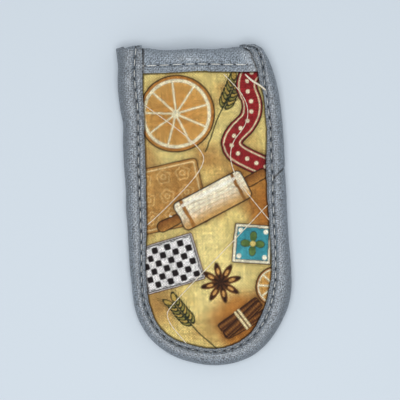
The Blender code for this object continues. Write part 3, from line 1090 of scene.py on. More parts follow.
@dataclass
class PrintDesign:
    """Paints a generic kitchen print on points of flat cloth, motif over motif.

    Lengths here are in millimetres, because a print is drawn at that scale. A motif's
    numbers are its own drawing: places, half widths and line widths, from the back up.
    """

    x: Array
    y: Array
    ink: Array = field(init=False)

    def __post_init__(self) -> None:
        """Starts from the ground colour."""
        self.ink = np.tile(np.array(linear("#DCC67C")[:3]), (len(self.x), 1))

    def lay(
        self, inside: Array, colour: str | Array, soft: float = 0.22, strength: float | Array = 1.0
    ) -> None:
        """Lays one colour wherever a distance is negative.

        Args:
            inside: Signed distance to the shape's edge, negative inside.
            colour: A hex colour, or one linear colour for each point.
            soft: Width of the edge's blur.
            strength: How strongly the colour covers.
        """
        cover = (1.0 - smooth_step(inside, -soft, 2 * soft)) * strength
        paint = np.array(linear(colour)[:3]) if isinstance(colour, str) else colour
        self.ink = self.ink * (1 - cover[:, None]) + paint * cover[:, None]

    def outline(self, inside: Array, colour: str, width: float = 0.55) -> None:
        """Draws a line along a shape's edge."""
        self.lay(np.abs(inside) - width / 2, colour)

    def turned(self, cx: float, cy: float, degrees: float) -> tuple[Array, Array]:
        """The points, seen from a place that is turned by some degrees.

        Args:
            cx: Where its middle lies across.
            cy: Where its middle lies along.
            degrees: How far it is turned.

        Returns:
            Both coordinates in the turned frame.
        """
        a = math.radians(degrees)
        dx, dy = self.x - cx, self.y - cy
        return dx * math.cos(a) + dy * math.sin(a), dy * math.cos(a) - dx * math.sin(a)

    def blend(self, first: str, second: str, share: Array) -> Array:
        """A colour for each point, between two.

        Args:
            first: A hex colour.
            second: Another.
            share: Share of the way, from 0 to 1.

        Returns:
            The mixed linear colours.
        """
        a, b = np.array(linear(first)[:3]), np.array(linear(second)[:3])
        share = np.clip(share, 0.0, 1.0)[:, None]
        return a * (1 - share) + b * share

    @staticmethod
    def box(u: Array, v: Array, half_u: float, half_v: float, corner: float = 0.0) -> Array:
        """Signed distance to a box with rounded corners.

        Args:
            u: Places across the box, from its middle.
            v: Places along it.
            half_u: Half its width.
            half_v: Half its height.
            corner: Radius of its corners.

        Returns:
            The distance, negative inside.
        """
        du, dv = np.abs(u) - half_u + corner, np.abs(v) - half_v + corner
        outside = np.hypot(np.maximum(du, 0), np.maximum(dv, 0))
        return outside + np.minimum(np.maximum(du, dv), 0) - corner

    def ribbon(self, knots: Array) -> tuple[Array, Array]:
        """Distance to a smooth line, and how far along it the nearest place is.

        Args:
            knots: The line's corners, one a row.

        Returns:
            The distance and the run, for each point.
        """
        line = CuttingPattern.rounded(knots, 1.6)
        nearest, at, run = np.full_like(self.x, 1e3), np.zeros_like(self.x), 0.0
        for a, b in zip(line, line[1:]):
            span = float(np.linalg.norm(b - a))
            share, off = to_stretch(self.x, self.y, a, b)
            at = np.where(off < nearest, run + share * span, at)
            nearest = np.minimum(nearest, off)
            run += span
        return nearest, at

    def paint(self) -> Array:
        """Lays every motif in order.

        Returns:
            A linear colour for each point.
        """
        self.ground()
        self.caramel_cloth(-18.0, 4.0, 8.0)
        self.wheat(13.0, 47.0, 62.0, 22.0)
        self.citrus(-11.0, 42.0, 17.5)
        self.red_ribbon()
        self.checks(-19.0, -27.0, 14.0, 11.0, 13.0)
        self.rolling_pin(3.0, 1.0, 24.0)
        self.tile(20.0, -20.5, -9.0)
        self.wheat(-13.0, -52.0, 128.0, 20.0)
        self.cinnamon(13.0, -55.0, 32.0)
        self.star_anise(4.0, -37.0, 9.5)
        self.citrus(29.0, -41.0, 9.0)
        self.grain()
        return np.clip(self.ink, 0.0, 1.0)

    def ground(self) -> None:
        """Ochre ground with washed clouds of pale yellow and burnt orange."""
        everywhere = np.full_like(self.x, -1.0)
        pale = clouds(self.x, self.y, 22.0, 3)
        burnt = clouds(self.x + 40, self.y, 26.0, 9)
        fine = clouds(self.x, self.y, 5.0, 14)
        self.lay(everywhere, "#ECDB94", strength=np.clip(1.1 * pale + 0.2 * fine + 0.2, 0.0, 0.85))
        self.lay(everywhere, "#AD6E2A", strength=np.clip(2.0 * burnt + 0.3 * fine, 0.0, 0.85))
        for cx, cy, wide, tall, strength in (
            (13.0, -57.0, 30.0, 19.0, 0.95),
            (-30.0, 22.0, 14.0, 22.0, 0.7),
            (31.0, -6.0, 16.0, 24.0, 0.85),
            (-26.0, -46.0, 15.0, 13.0, 0.7),
            (2.0, 22.0, 12.0, 9.0, 0.6),
        ):
            off = np.hypot((self.x - cx) / wide, (self.y - cy) / tall) + 0.22 * fine
            colour = self.blend("#8E5322", "#B67630", off * 1.3)
            self.lay(everywhere, colour, strength=strength * (1.0 - smooth_step(off, 0.15, 0.9)))

    def halo(self, shape: Array) -> None:
        """Washes a soft brown shade round a shape, as if it stood on the ground."""
        self.lay(shape - 0.5, "#5E3417", soft=2.2, strength=0.6)

    def caramel_cloth(self, cx: float, cy: float, degrees: float) -> None:
        """A caramel tea cloth with a fringe and scrolled rings, tone on tone.

        Args:
            cx: Where its middle lies across.
            cy: Where its middle lies along.
            degrees: How far it is turned.
        """
        u, v = self.turned(cx, cy, degrees)
        shape = self.box(u, v, 17.0, 15.0, 2.0)
        self.halo(shape)
        self.lay(shape, self.blend("#A8763A", "#BD9152", 0.5 + 0.5 * clouds(u, v, 6.0, 5)))
        ring_u, ring_v = (u + 40) % 9.0 - 4.5, (v + 40) % 9.0 - 4.5
        ring = np.hypot(ring_u, ring_v)
        scroll = np.abs(ring - 2.9 - 0.35 * np.sin(5 * np.arctan2(ring_v, ring_u))) - 0.35
        self.lay(np.maximum(scroll, shape + 2.2), "#D3AC6C", strength=0.8)
        self.lay(np.maximum(np.abs(ring - 1.1) - 0.28, shape + 2.2), "#D8B577", strength=0.8)
        self.lay(np.abs(shape + 1.5) - 0.3, "#E0C48C")
        self.outline(shape, "#4A2C1B", 0.5)

    def citrus(self, cx: float, cy: float, radius: float) -> None:
        """A slice of citrus: rind, pith and nine juicy segments.

        Args:
            cx: Where its middle lies across.
            cy: Where its middle lies along.
            radius: Its radius.
        """
        u, v = self.turned(cx, cy, 12.0)
        r, a = np.hypot(u, v), np.arctan2(v, u)
        self.halo(r - radius)
        self.lay(r - radius, self.blend("#A2652A", "#C08A45", 0.5 + 0.6 * clouds(u, v, 3.0, 2)))
        self.lay(r - 0.91 * radius, "#E9DFBB")
        wedge = math.tau / 9
        from_rib = np.abs((a % wedge) - wedge / 2) - wedge / 2
        segment = np.maximum(r * np.sin(np.minimum(from_rib, 0.0)) + 0.55, r - 0.82 * radius)
        segment = np.maximum(segment, 0.12 * radius - r)
        pulp = 0.5 + 0.5 * np.sin(a * 61 + 2.5 * np.sin(r * 1.7))
        flesh = self.blend("#B9762F", "#E2B566", 0.55 * pulp + 0.5 * r / radius)
        self.lay(segment, flesh, soft=0.3)
        self.lay(np.maximum(segment + 0.5, 0.35 - np.abs(pulp - 0.5)), "#8E5120", strength=0.35)
        self.outline(r - radius, "#2A1915", 0.6)
        self.outline(segment, "#B98A4B", 0.25)

    def red_ribbon(self) -> None:
        """A red grosgrain ribbon with cream edges and spots, that winds down the cloth."""
        knots = ((38.0, 66.0), (20.0, 57.0), (27.0, 40.0), (9.0, 26.0), (27.0, 15.0), (40.0, 12.0))
        off, at = self.ribbon(np.array(knots))
        shape = off - 4.9
        self.halo(shape)
        self.lay(shape, self.blend("#7E1A20", "#A12A2C", 0.5 + 0.5 * np.sin(at * 6.5)))
        self.lay(np.abs(off - 3.7) - 0.3, "#E4D5AE")
        spot = np.hypot((at + 2.4) % 4.8 - 2.4, off)
        self.lay(spot - 0.95, "#EFE3C2")
        self.outline(shape, "#241416", 0.6)

    def rolling_pin(self, cx: float, cy: float, degrees: float) -> None:
        """A turned rolling pin of pale wood with darker handles.

        Args:
            cx: Where its middle lies across.
            cy: Where its middle lies along.
            degrees: How far it is turned.
        """
        u, v = self.turned(cx, cy, degrees)
        for side in (-1, 1):
            handle = self.box(u - side * 22.5, v, 6.0, 2.5, 2.4)
            self.lay(handle, self.blend("#7A4A22", "#B07A3C", 0.5 - v / 4.0))
            self.outline(handle, "#26170F", 0.55)
        body = self.box(u, v, 17.5, 7.0, 2.2)
        self.halo(body)
        wood = self.blend("#F0E7CB", "#C99C5C", smooth_step(-v, -2.0, 8.5))
        self.lay(body, wood)
        grain = np.sin(v * 3.1 + 1.6 * np.sin(u * 0.22 + v * 0.3)) - 0.80
        self.lay(np.maximum(-grain, body + 0.6), "#B98849", strength=0.45)
        for band in (-13.2, 13.2):
            self.lay(np.maximum(np.abs(u - band) - 0.9, body), "#9C6A34")
        self.lay(np.maximum(self.box(u, v - 4.3, 14.0, 0.7, 0.6), body), "#FBF6E6", strength=0.8)
        self.outline(body, "#2A1A14", 0.6)

    def checks(self, cx: float, cy: float, half_u: float, half_v: float, degrees: float) -> None:
        """A black and white checked napkin.

        Args:
            cx: Where its middle lies across.
            cy: Where its middle lies along.
            half_u: Half its width.
            half_v: Half its height.
            degrees: How far it is turned.
        """
        u, v = self.turned(cx, cy, degrees)
        shape = self.box(u, v, half_u, half_v, 0.8)
        step = 3.1
        cell = np.sin(math.pi * u / step) * np.sin(math.pi * v / step)
        self.halo(shape)
        self.lay(shape, "#E6E3E2")
        self.lay(np.maximum(-cell * 0.9 + 0.05, shape + 1.3), "#1C1517", soft=0.12)
        self.lay(np.maximum(np.abs(shape + 0.8) - 0.28, shape), "#1C1517")
        self.outline(shape, "#5B3A26", 0.5)

    def tile(self, cx: float, cy: float, degrees: float) -> None:
        """A glazed tile: turquoise, with a four-petalled green flower.

        Args:
            cx: Where its middle lies across.
            cy: Where its middle lies along.
            degrees: How far it is turned.
        """
        u, v = self.turned(cx, cy, degrees)
        shape = self.box(u, v, 9.0, 9.0, 0.6)
        self.halo(shape)
        self.lay(shape, "#E8E0C4")
        self.lay(shape + 1.5, self.blend("#2E7F8E", "#4BA3AE", 0.5 + 0.5 * clouds(u, v, 4.0, 8)))
        r, a = np.hypot(u, v), np.arctan2(v, u)
        petal = r - 5.6 * np.abs(np.cos(2 * a)) ** 0.8
        self.lay(petal, self.blend("#35552B", "#6E8A4A", r / 6.0))
        self.outline(petal, "#1D2A1C", 0.4)
        self.lay(r - 1.3, "#E7CF7A")
        corner = np.hypot(np.abs(u) - 6.0, np.abs(v) - 6.0) - 1.1
        self.lay(corner, "#F1EAD2")
        self.outline(shape, "#3A2418", 0.5)
        self.outline(shape + 1.5, "#3A2418", 0.3)

    def wheat(self, cx: float, cy: float, degrees: float, length: float) -> None:
        """An ear of wheat in dark green line.

        Args:
            cx: Where its middle lies across.
            cy: Where its middle lies along.
            degrees: How far it is turned.
            length: Its length.
        """
        u, v = self.turned(cx, cy, degrees)
        stem = self.box(u + 0.35 * length, v + 0.6 * np.sin(u * 0.18), 0.85 * length, 0.3)
        self.lay(stem, "#26301F")
        for k in range(8):
            at = -0.1 * length + k * 0.09 * length
            for side in (-1, 1):
                a = math.radians(28 * side)
                gu, gv = u - at, v - side * 1.9
                pu, pv = gu * math.cos(a) + gv * math.sin(a), gv * math.cos(a) - gu * math.sin(a)
                seed = np.hypot(pu / 2.5, pv / 1.15) - 1.0
                self.lay(seed, "#B79A4E" if k % 2 else "#8C8243")
                self.lay(np.abs(seed) - 0.2, "#222A1C", soft=0.1)
                self.lay(self.box(pu - 4.2, pv, 2.4, 0.12), "#2A3020", strength=0.8)

    def cinnamon(self, cx: float, cy: float, degrees: float) -> None:
        """Three quills of cinnamon tied with string.

        Args:
            cx: Where its middle lies across.
            cy: Where its middle lies along.
            degrees: How far it is turned.
        """
        for k, shift in enumerate((-2.9, 2.9, 0.0)):
            u, v = self.turned(cx, cy, degrees + (k - 1) * 7)
            v = v - shift
            quill = self.box(u, v, 11.0, 2.1, 1.2)
            self.halo(quill)
            bark = 0.5 + 0.45 * np.sin(v * 2.6 + 0.4 * k)
            self.lay(quill, self.blend("#4B2817", "#94602F", bark))
            curl = np.hypot((u - 10.0) / 0.8, v)
            self.lay(np.maximum(np.abs(np.sin(curl * 2.3)) - 0.5, quill), "#21120C", strength=0.7)
            self.outline(quill, "#1F120D", 0.5)
        u, v = self.turned(cx, cy, degrees)
        self.lay(self.box(np.abs(u) - 0.9, v, 0.5, 5.4, 0.4), "#E3D2A2")

    def star_anise(self, cx: float, cy: float, radius: float) -> None:
        """A star of anise: eight dark pods, each with a bright seed.

        Args:
            cx: Where its middle lies across.
            cy: Where its middle lies along.
            radius: Its radius.
        """
        u, v = self.turned(cx, cy, 10.0)
        r, a = np.hypot(u, v), np.arctan2(v, u)
        arm = math.tau / 8
        off = (a + arm / 2) % arm - arm / 2
        across, along = r * np.sin(off), r * np.cos(off)
        pod = np.hypot((along - 0.52 * radius) / (0.5 * radius), across / (0.17 * radius)) - 1.0
        self.lay(pod * 1.4, self.blend("#20130F", "#6A4021", np.abs(across) / 1.6))
        self.lay(np.hypot((along - 0.55 * radius) / 1.5, across / 0.62) - 1.0, "#C99656")
        self.lay(r - 1.2, "#3A2114")

    def grain(self) -> None:
        """Slubs, both ways of the cloth, and flecks where the ink missed a thread."""
        slub, long = 0.8, 9.0
        weft = clouds(self.x / long, self.y, slub, 21, 1)
        warp = clouds(self.x, self.y / long, slub, 22, 1)
        fleck = clouds(self.x, self.y, 0.9, 23, 2)
        self.ink = self.ink * (1.0 + 0.13 * (weft + warp + fleck)[:, None])


# ---- panels


@dataclass(frozen=True)
class ClothSettler:
    """Lets a cover settle over its padding by cloth simulation, held where it is sewn."""

    scale: float = 20.0  # simulated as large as a bedspread, which the solver is made for
    frames: int = 20
    spare: float = 0.03  # the cloth is this share larger than its place, so that it puckers
    pressure: float = 0.8
    cap: float = 0.7 * MM
    sink: float = 0.1 * MM  # the wadding stops the cloth from going in further

    def settle(self, name: str, places: Array, held: Array, face: Face) -> Array:
        """Runs the simulation.

        Args:
            name: Name of the sheet while it is simulated.
            places: The cloth's drawn places, of shape (rows, columns, 3).
            held: Which of them are sewn down.
            face: The side of the pocket, which says where the padding pushes.

        Returns:
            How far each place moves.
        """
        sheet = Workbench.sheet(name, places * self.scale, {})
        if face is Face.BACK:
            Workbench.turn_over(sheet)
        group = sheet.vertex_groups.new(name="held")
        group.add([int(i) for i in np.flatnonzero(held.ravel())], 1.0, "REPLACE")
        cloth = sheet.modifiers.new("cloth", "CLOTH")
        settings = cloth.settings
        stiffness = {"tension": 18.0, "compression": 10.0, "shear": 4.0, "bending": 0.35}
        for way, amount in stiffness.items():
            setattr(settings, f"{way}_stiffness", amount)
        settings.quality = 6
        settings.mass = 0.25
        settings.air_damping = 4.0
        settings.effector_weights.gravity = 0.0
        settings.vertex_group_mass = "held"
        settings.shrink_min = -self.spare
        settings.use_pressure = True
        settings.uniform_pressure_force = self.pressure
        cloth.point_cache.frame_start = 1
        cloth.point_cache.frame_end = self.frames
        scene = bpy.context.scene
        for frame in range(1, self.frames + 1):
            scene.frame_set(frame)
        shaped = sheet.evaluated_get(bpy.context.evaluated_depsgraph_get())
        end = Workbench.points(shaped).reshape(places.shape) / self.scale
        bpy.data.objects.remove(sheet)
        scene.frame_set(1)
        moved = end - places
        length = np.linalg.norm(moved, axis=2, keepdims=True)
        moved = moved * np.minimum(1.0, self.cap / np.maximum(length, 1e-9))
        outward = np.maximum(moved[..., 2] * face.value, -self.sink)
        moved[..., 2] = outward * face.value
        LOG.info("%s: cloth settles by up to %.2f mm", name, float(length.max()) / MM)
        return moved


@dataclass
class QuiltedPanel:
    """One padded panel: printed cover, wadding and lining, with its quilting."""

    pattern: CuttingPattern
    wardrobe: Wardrobe
    face: Face
    folds: list[Array]
    tape_top: Array
    settler: ClothSettler
    # columns and rows of each ply's mesh
    settling_grid: tuple[int, int] = (47, 99)
    cover_grid: tuple[int, int] = (186, 394)  # fine enough to carry the print
    lining_grid: tuple[int, int] = (60, 120)
    wadding_grid: tuple[int, int] = (56, 112)
    held_side: float = 10.8 * MM
    held_mouth: float = 9.5 * MM
    held_quilting: float = 0.9 * MM
    # how far the painted shade reaches beside the tapes' folds
    crease: float = 1.1 * MM
    blank_share: float = 0.93  # the blank's area, as a share of its length times its width
    quilt_stitch: float = 2.7 * MM
    quilt_thread: float = 0.44 * MM
    loose_thread: float = 1.0 * MM
    bobbin_thread: float = 0.36 * MM
    mouth_hem: float = 12.2 * MM  # no quilting nearer than this to the mouth
    pucker: float = 0.16 * MM
    pucker_size: float = 2.1 * MM
    pucker_reach: float = 2.4 * MM
    swell_size: float = 14.0 * MM

    @property
    def side(self) -> str:
        """The start of the names of this panel's pieces."""
        return self.face.name.lower()

    def grid(self, size: tuple[int, int]) -> tuple[Array, Array]:
        """Places of a panel's grid: x and y, each of shape (rows, columns)."""
        column, row = np.meshgrid(*(np.linspace(0, 1, count) for count in size))
        return self.pattern.panel_place(column, row)

    def from_edges(self, x: Array, y: Array) -> tuple[Array, Array]:
        """Distance from each place to the outline, and to the mouth."""
        return self.pattern.edge_inset(x, y)[0], self.pattern.mouth_y(x) - y

    def pleat(self, x: Array, y: Array) -> Array:
        """Small puckers that the quilting stitches draw up beside their line.

        Args:
            x: Places across the pocket.
            y: Places along it.

        Returns:
            How far the cloth stands up.
        """
        near = self.pattern.to_quilting(x, y, self.face)
        draw = np.exp(-((near / self.pucker_reach) ** 2))
        size, seed = self.pucker_size, self.face.value
        ripple = lattice_noise(x / size, y / size, 4 + seed)
        swell = clouds(x, y, self.swell_size, 12 + seed)
        free = smooth_step(self.from_edges(x, y)[0], 11.0 * MM, 5.0 * MM)
        return self.pucker * free * (draw * ripple * 0.7 + 0.8 * swell)

    def cover_height(self, x: Array, y: Array) -> Array:
        """Mid-height of the cover's cloth."""
        level = self.pattern.levels(x, y)[f"{self.side}_cover"]
        return level + self.pattern.cloth / 2 + self.pleat(x, y)

    def ply(self, name: str, x: Array, y: Array, z: Array, moved: float | Array = 0.0) -> Object:
        """Lays out one ply, which lies flat in plan but for what it has moved."""
        places = np.dstack([x, y, z]) + moved
        return Workbench.sheet(f"{self.side}_{name}", places, {"cloth": np.dstack([x, y])})

    def declare(self, ply: Object) -> Object:
        """Hands a ply back as it is.

        Args:
            ply: The ply.

        Returns:
            The ply.
        """
        return ply

    def make_cover(self) -> Object:
        """Makes the printed cover, settled over its padding.

        Returns:
            The cover.
        """
        x, y = self.grid(self.cover_grid)
        cover = self.ply("printed_cover", x, y, self.cover_height(x, y), self.settled())
        if self.face is Face.BACK:
            Workbench.turn_over(cover)
        self.paint(cover, np.c_[x.ravel(), y.ravel()] / MM)
        # painted shade in the creases beside the tapes' folds
        Workbench.crease(cover, self.folds, self.crease)
        Workbench.hand_over(cover, self.wardrobe.printed, "printed_cotton", f"{self.side}_cover")
        return self.declare(cover)

    def settled(self) -> Array:
        """How far the settled cloth moves from its drawn place, on the cover's grid.

        Returns:
            The moves, of shape (rows, columns, 3).
        """
        x, y = self.grid(self.settling_grid)
        places = np.dstack([x, y, self.cover_height(x, y)])
        inset, from_mouth = self.from_edges(x, y)
        sewn = self.pattern.to_quilting(x, y, self.face) < self.held_quilting
        held = sewn | (inset < self.held_side) | (from_mouth < self.held_mouth)
        moved = self.settler.settle(f"{self.side}_settling", places, held, self.face)
        for count in reversed(self.cover_grid):
            moved = spline_rows(moved, count).transpose(1, 0, 2)
        return moved

    def paint(self, cover: Object, flat: Array) -> None:
        """Prints the cover: its colour attribute holds the design.

        Args:
            cover: The cover.
            flat: Where each of its points lies on the flat cloth, in millimetres.
        """
        turn = float(self.face.value)
        shift = 0.0 if self.face is Face.FRONT else 6.0
        ink = PrintDesign(flat[:, 0] * turn, flat[:, 1] * turn + shift).paint()
        layer = cover.data.color_attributes.new("print", "FLOAT_COLOR", "POINT")
        layer.data.foreach_set("color", np.c_[ink, np.ones(len(ink))].astype(np.float32).ravel())

    def make_lining(self) -> Object:
        """Makes the calico lining, a thin sheet.

        Returns:
            The lining.
        """
        x, y = self.grid(self.lining_grid)
        level = self.pattern.levels(x, y)[f"{self.side}_lining"] + self.pattern.cloth / 2
        lining = self.ply("calico_lining", x, y, level)
        Workbench.thicken(lining, self.pattern.cloth)
        Workbench.hand_over(lining, self.wardrobe.calico, "lining", f"{self.side}_lining")
        return self.declare(lining)

    def make_wadding(self) -> Object:
        """Makes the wadding: a closed pad, thin under tapes and quilting.

        Returns:
            The pad.
        """
        x, y = self.grid(self.wadding_grid)
        level = self.pattern.levels(x, y)
        thick, full = level[f"{self.side}_wadding_thickness"], self.pattern.wadding
        pad = self.ply("wadding_pad", x, y, level[f"{self.side}_wadding"] + thick / 2)
        group = pad.vertex_groups.new(name="thickness")
        for index, weight in enumerate(thick.ravel() / full):
            group.add([index], float(weight), "REPLACE")
        Workbench.apply(pad, "SOLIDIFY", thickness=full, offset=0.0, vertex_group="thickness")
        Workbench.hand_over(pad, self.wardrobe.wadding, "wadding", f"{self.side}_wadding")
        return pad

    def seen_part(self, line: Array, under: float) -> Array:
        """The points of a quilting line that no tape lies over, and a little of those beyond.

        Args:
            line: The quilting line's points.
            under: How far under the tape the thread runs on.

        Returns:
            The points that are left.
        """
        beside, _ = nearest_on(line, self.folds[0])
        tape_inset, _ = self.from_edges(*self.folds[0][beside, :2].T)
        inset, from_mouth = self.from_edges(*line.T)
        return line[(inset > tape_inset - under) & (from_mouth > self.mouth_hem)]

    def stitches_along(
        self, line: Array, gap: float, knots: int, single: bool = False
    ) -> Iterator[tuple[Array, Array, Array]]:
        """Divides a line into stitches.

        Args:
            line: The line's points.
            gap: What each end of a stitch leaves free, as a share of its length.
            knots: How many points a stitch has.
            single: Whether the whole line is one stitch.

        Yields:
            Each stitch's points: x, y and the share along the stitch.
        """
        run = np.concatenate([[0.0], np.cumsum(np.linalg.norm(np.diff(line, axis=0), axis=1))])
        count = 1 if single else max(1, round(float(run[-1]) / self.quilt_stitch))
        share = np.linspace(0.0, 1.0, knots)
        for k in range(count):
            at = (k + gap + (1.0 - 2.0 * gap) * share) / count * run[-1]
            yield np.interp(at, run, line[:, 0]), np.interp(at, run, line[:, 1]), share

    def make_quilting(self) -> list[Object]:
        """Makes each run of quilting thread as separate stitches on the cover.

        Returns:
            One piece for each run.
        """
        made = []
        for number, line in enumerate(self.pattern.quilt_lines(self.face), 1):
            loose = number == len(self.pattern.quilting)
            line = self.seen_part(line, 1.6 * MM if loose else 0.1 * MM)
            radius = (self.loose_thread if loose else self.quilt_thread) / 2
            strands = []
            for x, y, share in self.stitches_along(line, 0.03, 21 if loose else 7, loose):
                bow = np.sin(share * math.pi) ** (0.3 if loose else 1.0)
                rise = self.pattern.cloth / 2 + radius * (2.0 * bow - 0.8)
                z = self.cover_height(x, y) + self.face.value * rise
                strands.append(np.c_[x, y, self.over_tape(x, y, z, radius) if loose else z])
            thread = Workbench.threads(f"{self.side}_quilting_{number}", strands, radius)
            node = f"{self.side}_quilting_thread_{number}"
            made.append(Workbench.hand_over(thread, self.wardrobe.quilting_thread, "thread", node))
        return made

    def over_tape(self, x: Array, y: Array, z: Array, radius: float) -> Array:
        """Lifts a loose thread's points onto the edge tape where they lie over it.

        Args:
            x: Places across the pocket.
            y: Places along it.
            z: Heights.
            radius: The thread's radius.

        Returns:
            The lifted heights.
        """
        lift = float(self.face.value)
        beside, off = nearest_on(np.c_[x, y], self.tape_top)
        on_top = lift * self.tape_top[beside, 2] + self.pattern.tape / 2 + 0.7 * radius
        share = 1.0 - smooth_step(off, 0.5 * MM, 0.8 * MM)
        return lift * np.maximum(lift * z, share * on_top + (1.0 - share) * lift * z)

    def make_bobbin_side(self) -> Object:
        """Makes the quilting's stitches on the lining, inside the pocket.

        Returns:
            All the stitches as one piece.
        """
        radius = self.bobbin_thread / 2
        strands = []
        for line in self.pattern.quilt_lines(self.face):
            for x, y, share in self.stitches_along(self.seen_part(line, 0.0), 0.12, 5):
                level = self.pattern.levels(x, y)[f"{self.side}_lining"] + self.pattern.cloth / 2
                rise = self.pattern.cloth / 2 + radius * (1.4 * np.sin(share * math.pi) - 0.8)
                strands.append(np.c_[x, y, level - self.face.value * rise])
        thread = Workbench.threads(f"{self.side}_quilting_bobbin_stitches", strands, radius)
        return Workbench.hand_over(thread, self.wardrobe.quilting_thread, "thread")

    def build(self) -> list[Object]:
        """Makes the whole panel, from the outside in."""
        plies = [self.make_cover(), self.make_wadding(), self.make_lining()]
        return [*plies, *self.make_quilting(), self.make_bobbin_side()]


# ---- tapes


# How far the edge tape reaches in from the outline, in mm, at distances along it in mm
FRONT_REACH = (
    (0, 13.2), (8, 12.9), (14, 12.55), (20, 12.1), (30, 11.6), (40, 11.25), (50, 10.9), (60, 10.4),
    (70, 9.95), (80, 9.3), (86, 8.9), (92, 8.4), (98, 7.7), (104, 7.15), (108, 7.05), (114, 7.1),
    (120, 7.2), (128, 6.85), (133, 6.3), (138, 6.1), (143, 6.4), (148, 6.8), (153, 7.45), (158, 8),
    (168, 8.05), (178, 8), (186, 8.25), (196, 8.85), (201, 9.5), (206, 10.4), (211, 10.9),
    (219, 11.15), (226, 11.1), (231, 10.5), (236, 9.5), (241, 9.1), (246, 8.9), (256, 8.95),
    (266, 9), (276, 8.95), (284, 8.75), (289, 8.4), (294, 7.8), (299, 7.3), (304, 7.05),
    (312, 7.15), (320, 7.2), (324, 7.6), (328, 8), (331, 7.6), (334, 7), (340.2, 6.2), (342, 6.2),
    (345.1, 5.4), (348.9, 3.5), (350.4, 2.1), (352, 1.2), (353.9, 0.8),
)
BACK_REACH = (
    (0, 9), (71, 10.5), (141, 12), (283, 12), (329, 8), (341.5, 5.2), (348.5, 2.4), (353.9, 1.6),
)
# How far its seam runs in from the outline, in mm
SEAM_PLACE = (
    (0, 10.3), (3, 10.2), (7, 9.4), (11, 8.9), (15, 8.7), (25, 8.85), (32, 8.95), (40, 8.4),
    (45, 8.15), (50, 8.1), (55, 7.5), (60, 7.35), (70, 7.05), (80, 6.75), (85, 6.5), (90, 6.3),
    (98, 5.95), (104, 5.4), (108, 5.05), (118, 5.05), (128, 4.9), (138, 4.8), (143, 5.1),
    (148, 5.4), (153, 5.7), (158, 6.2), (163, 6.55), (170, 6.75), (178, 6.8), (186, 6.8), (191, 7),
    (196, 7.2), (201, 7.7), (206, 8.1), (211, 8.4), (216, 8.8), (224, 9), (229, 8.8), (233, 8.1),
    (238, 7.6), (243, 7.3), (250, 7.05), (263, 6.85), (271, 6.6), (276, 6.3), (281, 6.05),
    (290, 5.9), (299, 5.65), (304, 5.45), (309, 5.6), (314, 5.8), (320, 6), (324, 6.1), (328, 5.8),
    (331, 5.1), (334, 4.2), (339, 2.9), (344, 2), (348, 1.3), (353.9, 0.4),
)
# How far the sewn outline strays inwards from the cutting line, in mm
OUTLINE_STRAY = (
    (0, 0.7), (10, 1.1), (16, 0.6), (22, 0.5), (30, 0.75), (36, 1.5), (46, 1), (56, 0.65),
    (68, 0.7), (76, 0.2), (86, 0.35), (98, 0.05), (106, -0.1), (118, 0.25), (130, -0.45),
    (142, -0.5), (152, -0.05), (164, 0.45), (174, 0.1), (190, -0.25), (198, 0.1), (210, 1),
    (220, 0.75), (236, 0.45), (254, 0.4), (270, 0.15), (286, -0.1), (294, -0.4), (312, -0.3),
    (324, 0.55), (332, 0.5), (340, -0.1), (345, 0), (348, 0.5), (351, 1.5), (354, 1.5),
)
# How far the tape's left end is cut back, in mm, at places in from the outline
END_CUT = (
    (0, 1.05), (2.2, 1.0), (3.2, 0.7), (4.2, 0.9), (4.7, 2.1), (5.3, 1.35), (6, 1.15), (7.6, 0.85),
    (9.4, 0.55), (12, 0.4), (14, 0.3),
)
# How far the front panel's mouth lies back from the cutting line, in mm, at places along X
MOUTH_STRAY = (
    (-38, 0.1), (-24, 0.1), (-21.5, 0.15), (-19, 0.75), (-16, 1.35), (-12, 1.6), (-8, 1.65),
    (-5.5, 1.45), (-3, 1.15), (8, 1.1), (10.5, 0.9), (12.5, 0.45), (15.5, 0.25), (18.5, -0.3),
    (22, -0.35), (38, -0.2),
)
GROOVE = -0.42  # relief of the drawn-in seam on the rounded side
NEEDLE_DENT = 0.22 * MM
NEEDLE_REACH = 0.5 * MM
STITCH_KNOTS = 9
KNOTS = {"rounded": 15, "flat": 11}  # knots of a section's two sides
SEAM_KNOT = {"rounded": 4, "flat": 3}  # the seam's knot, from the inner fold


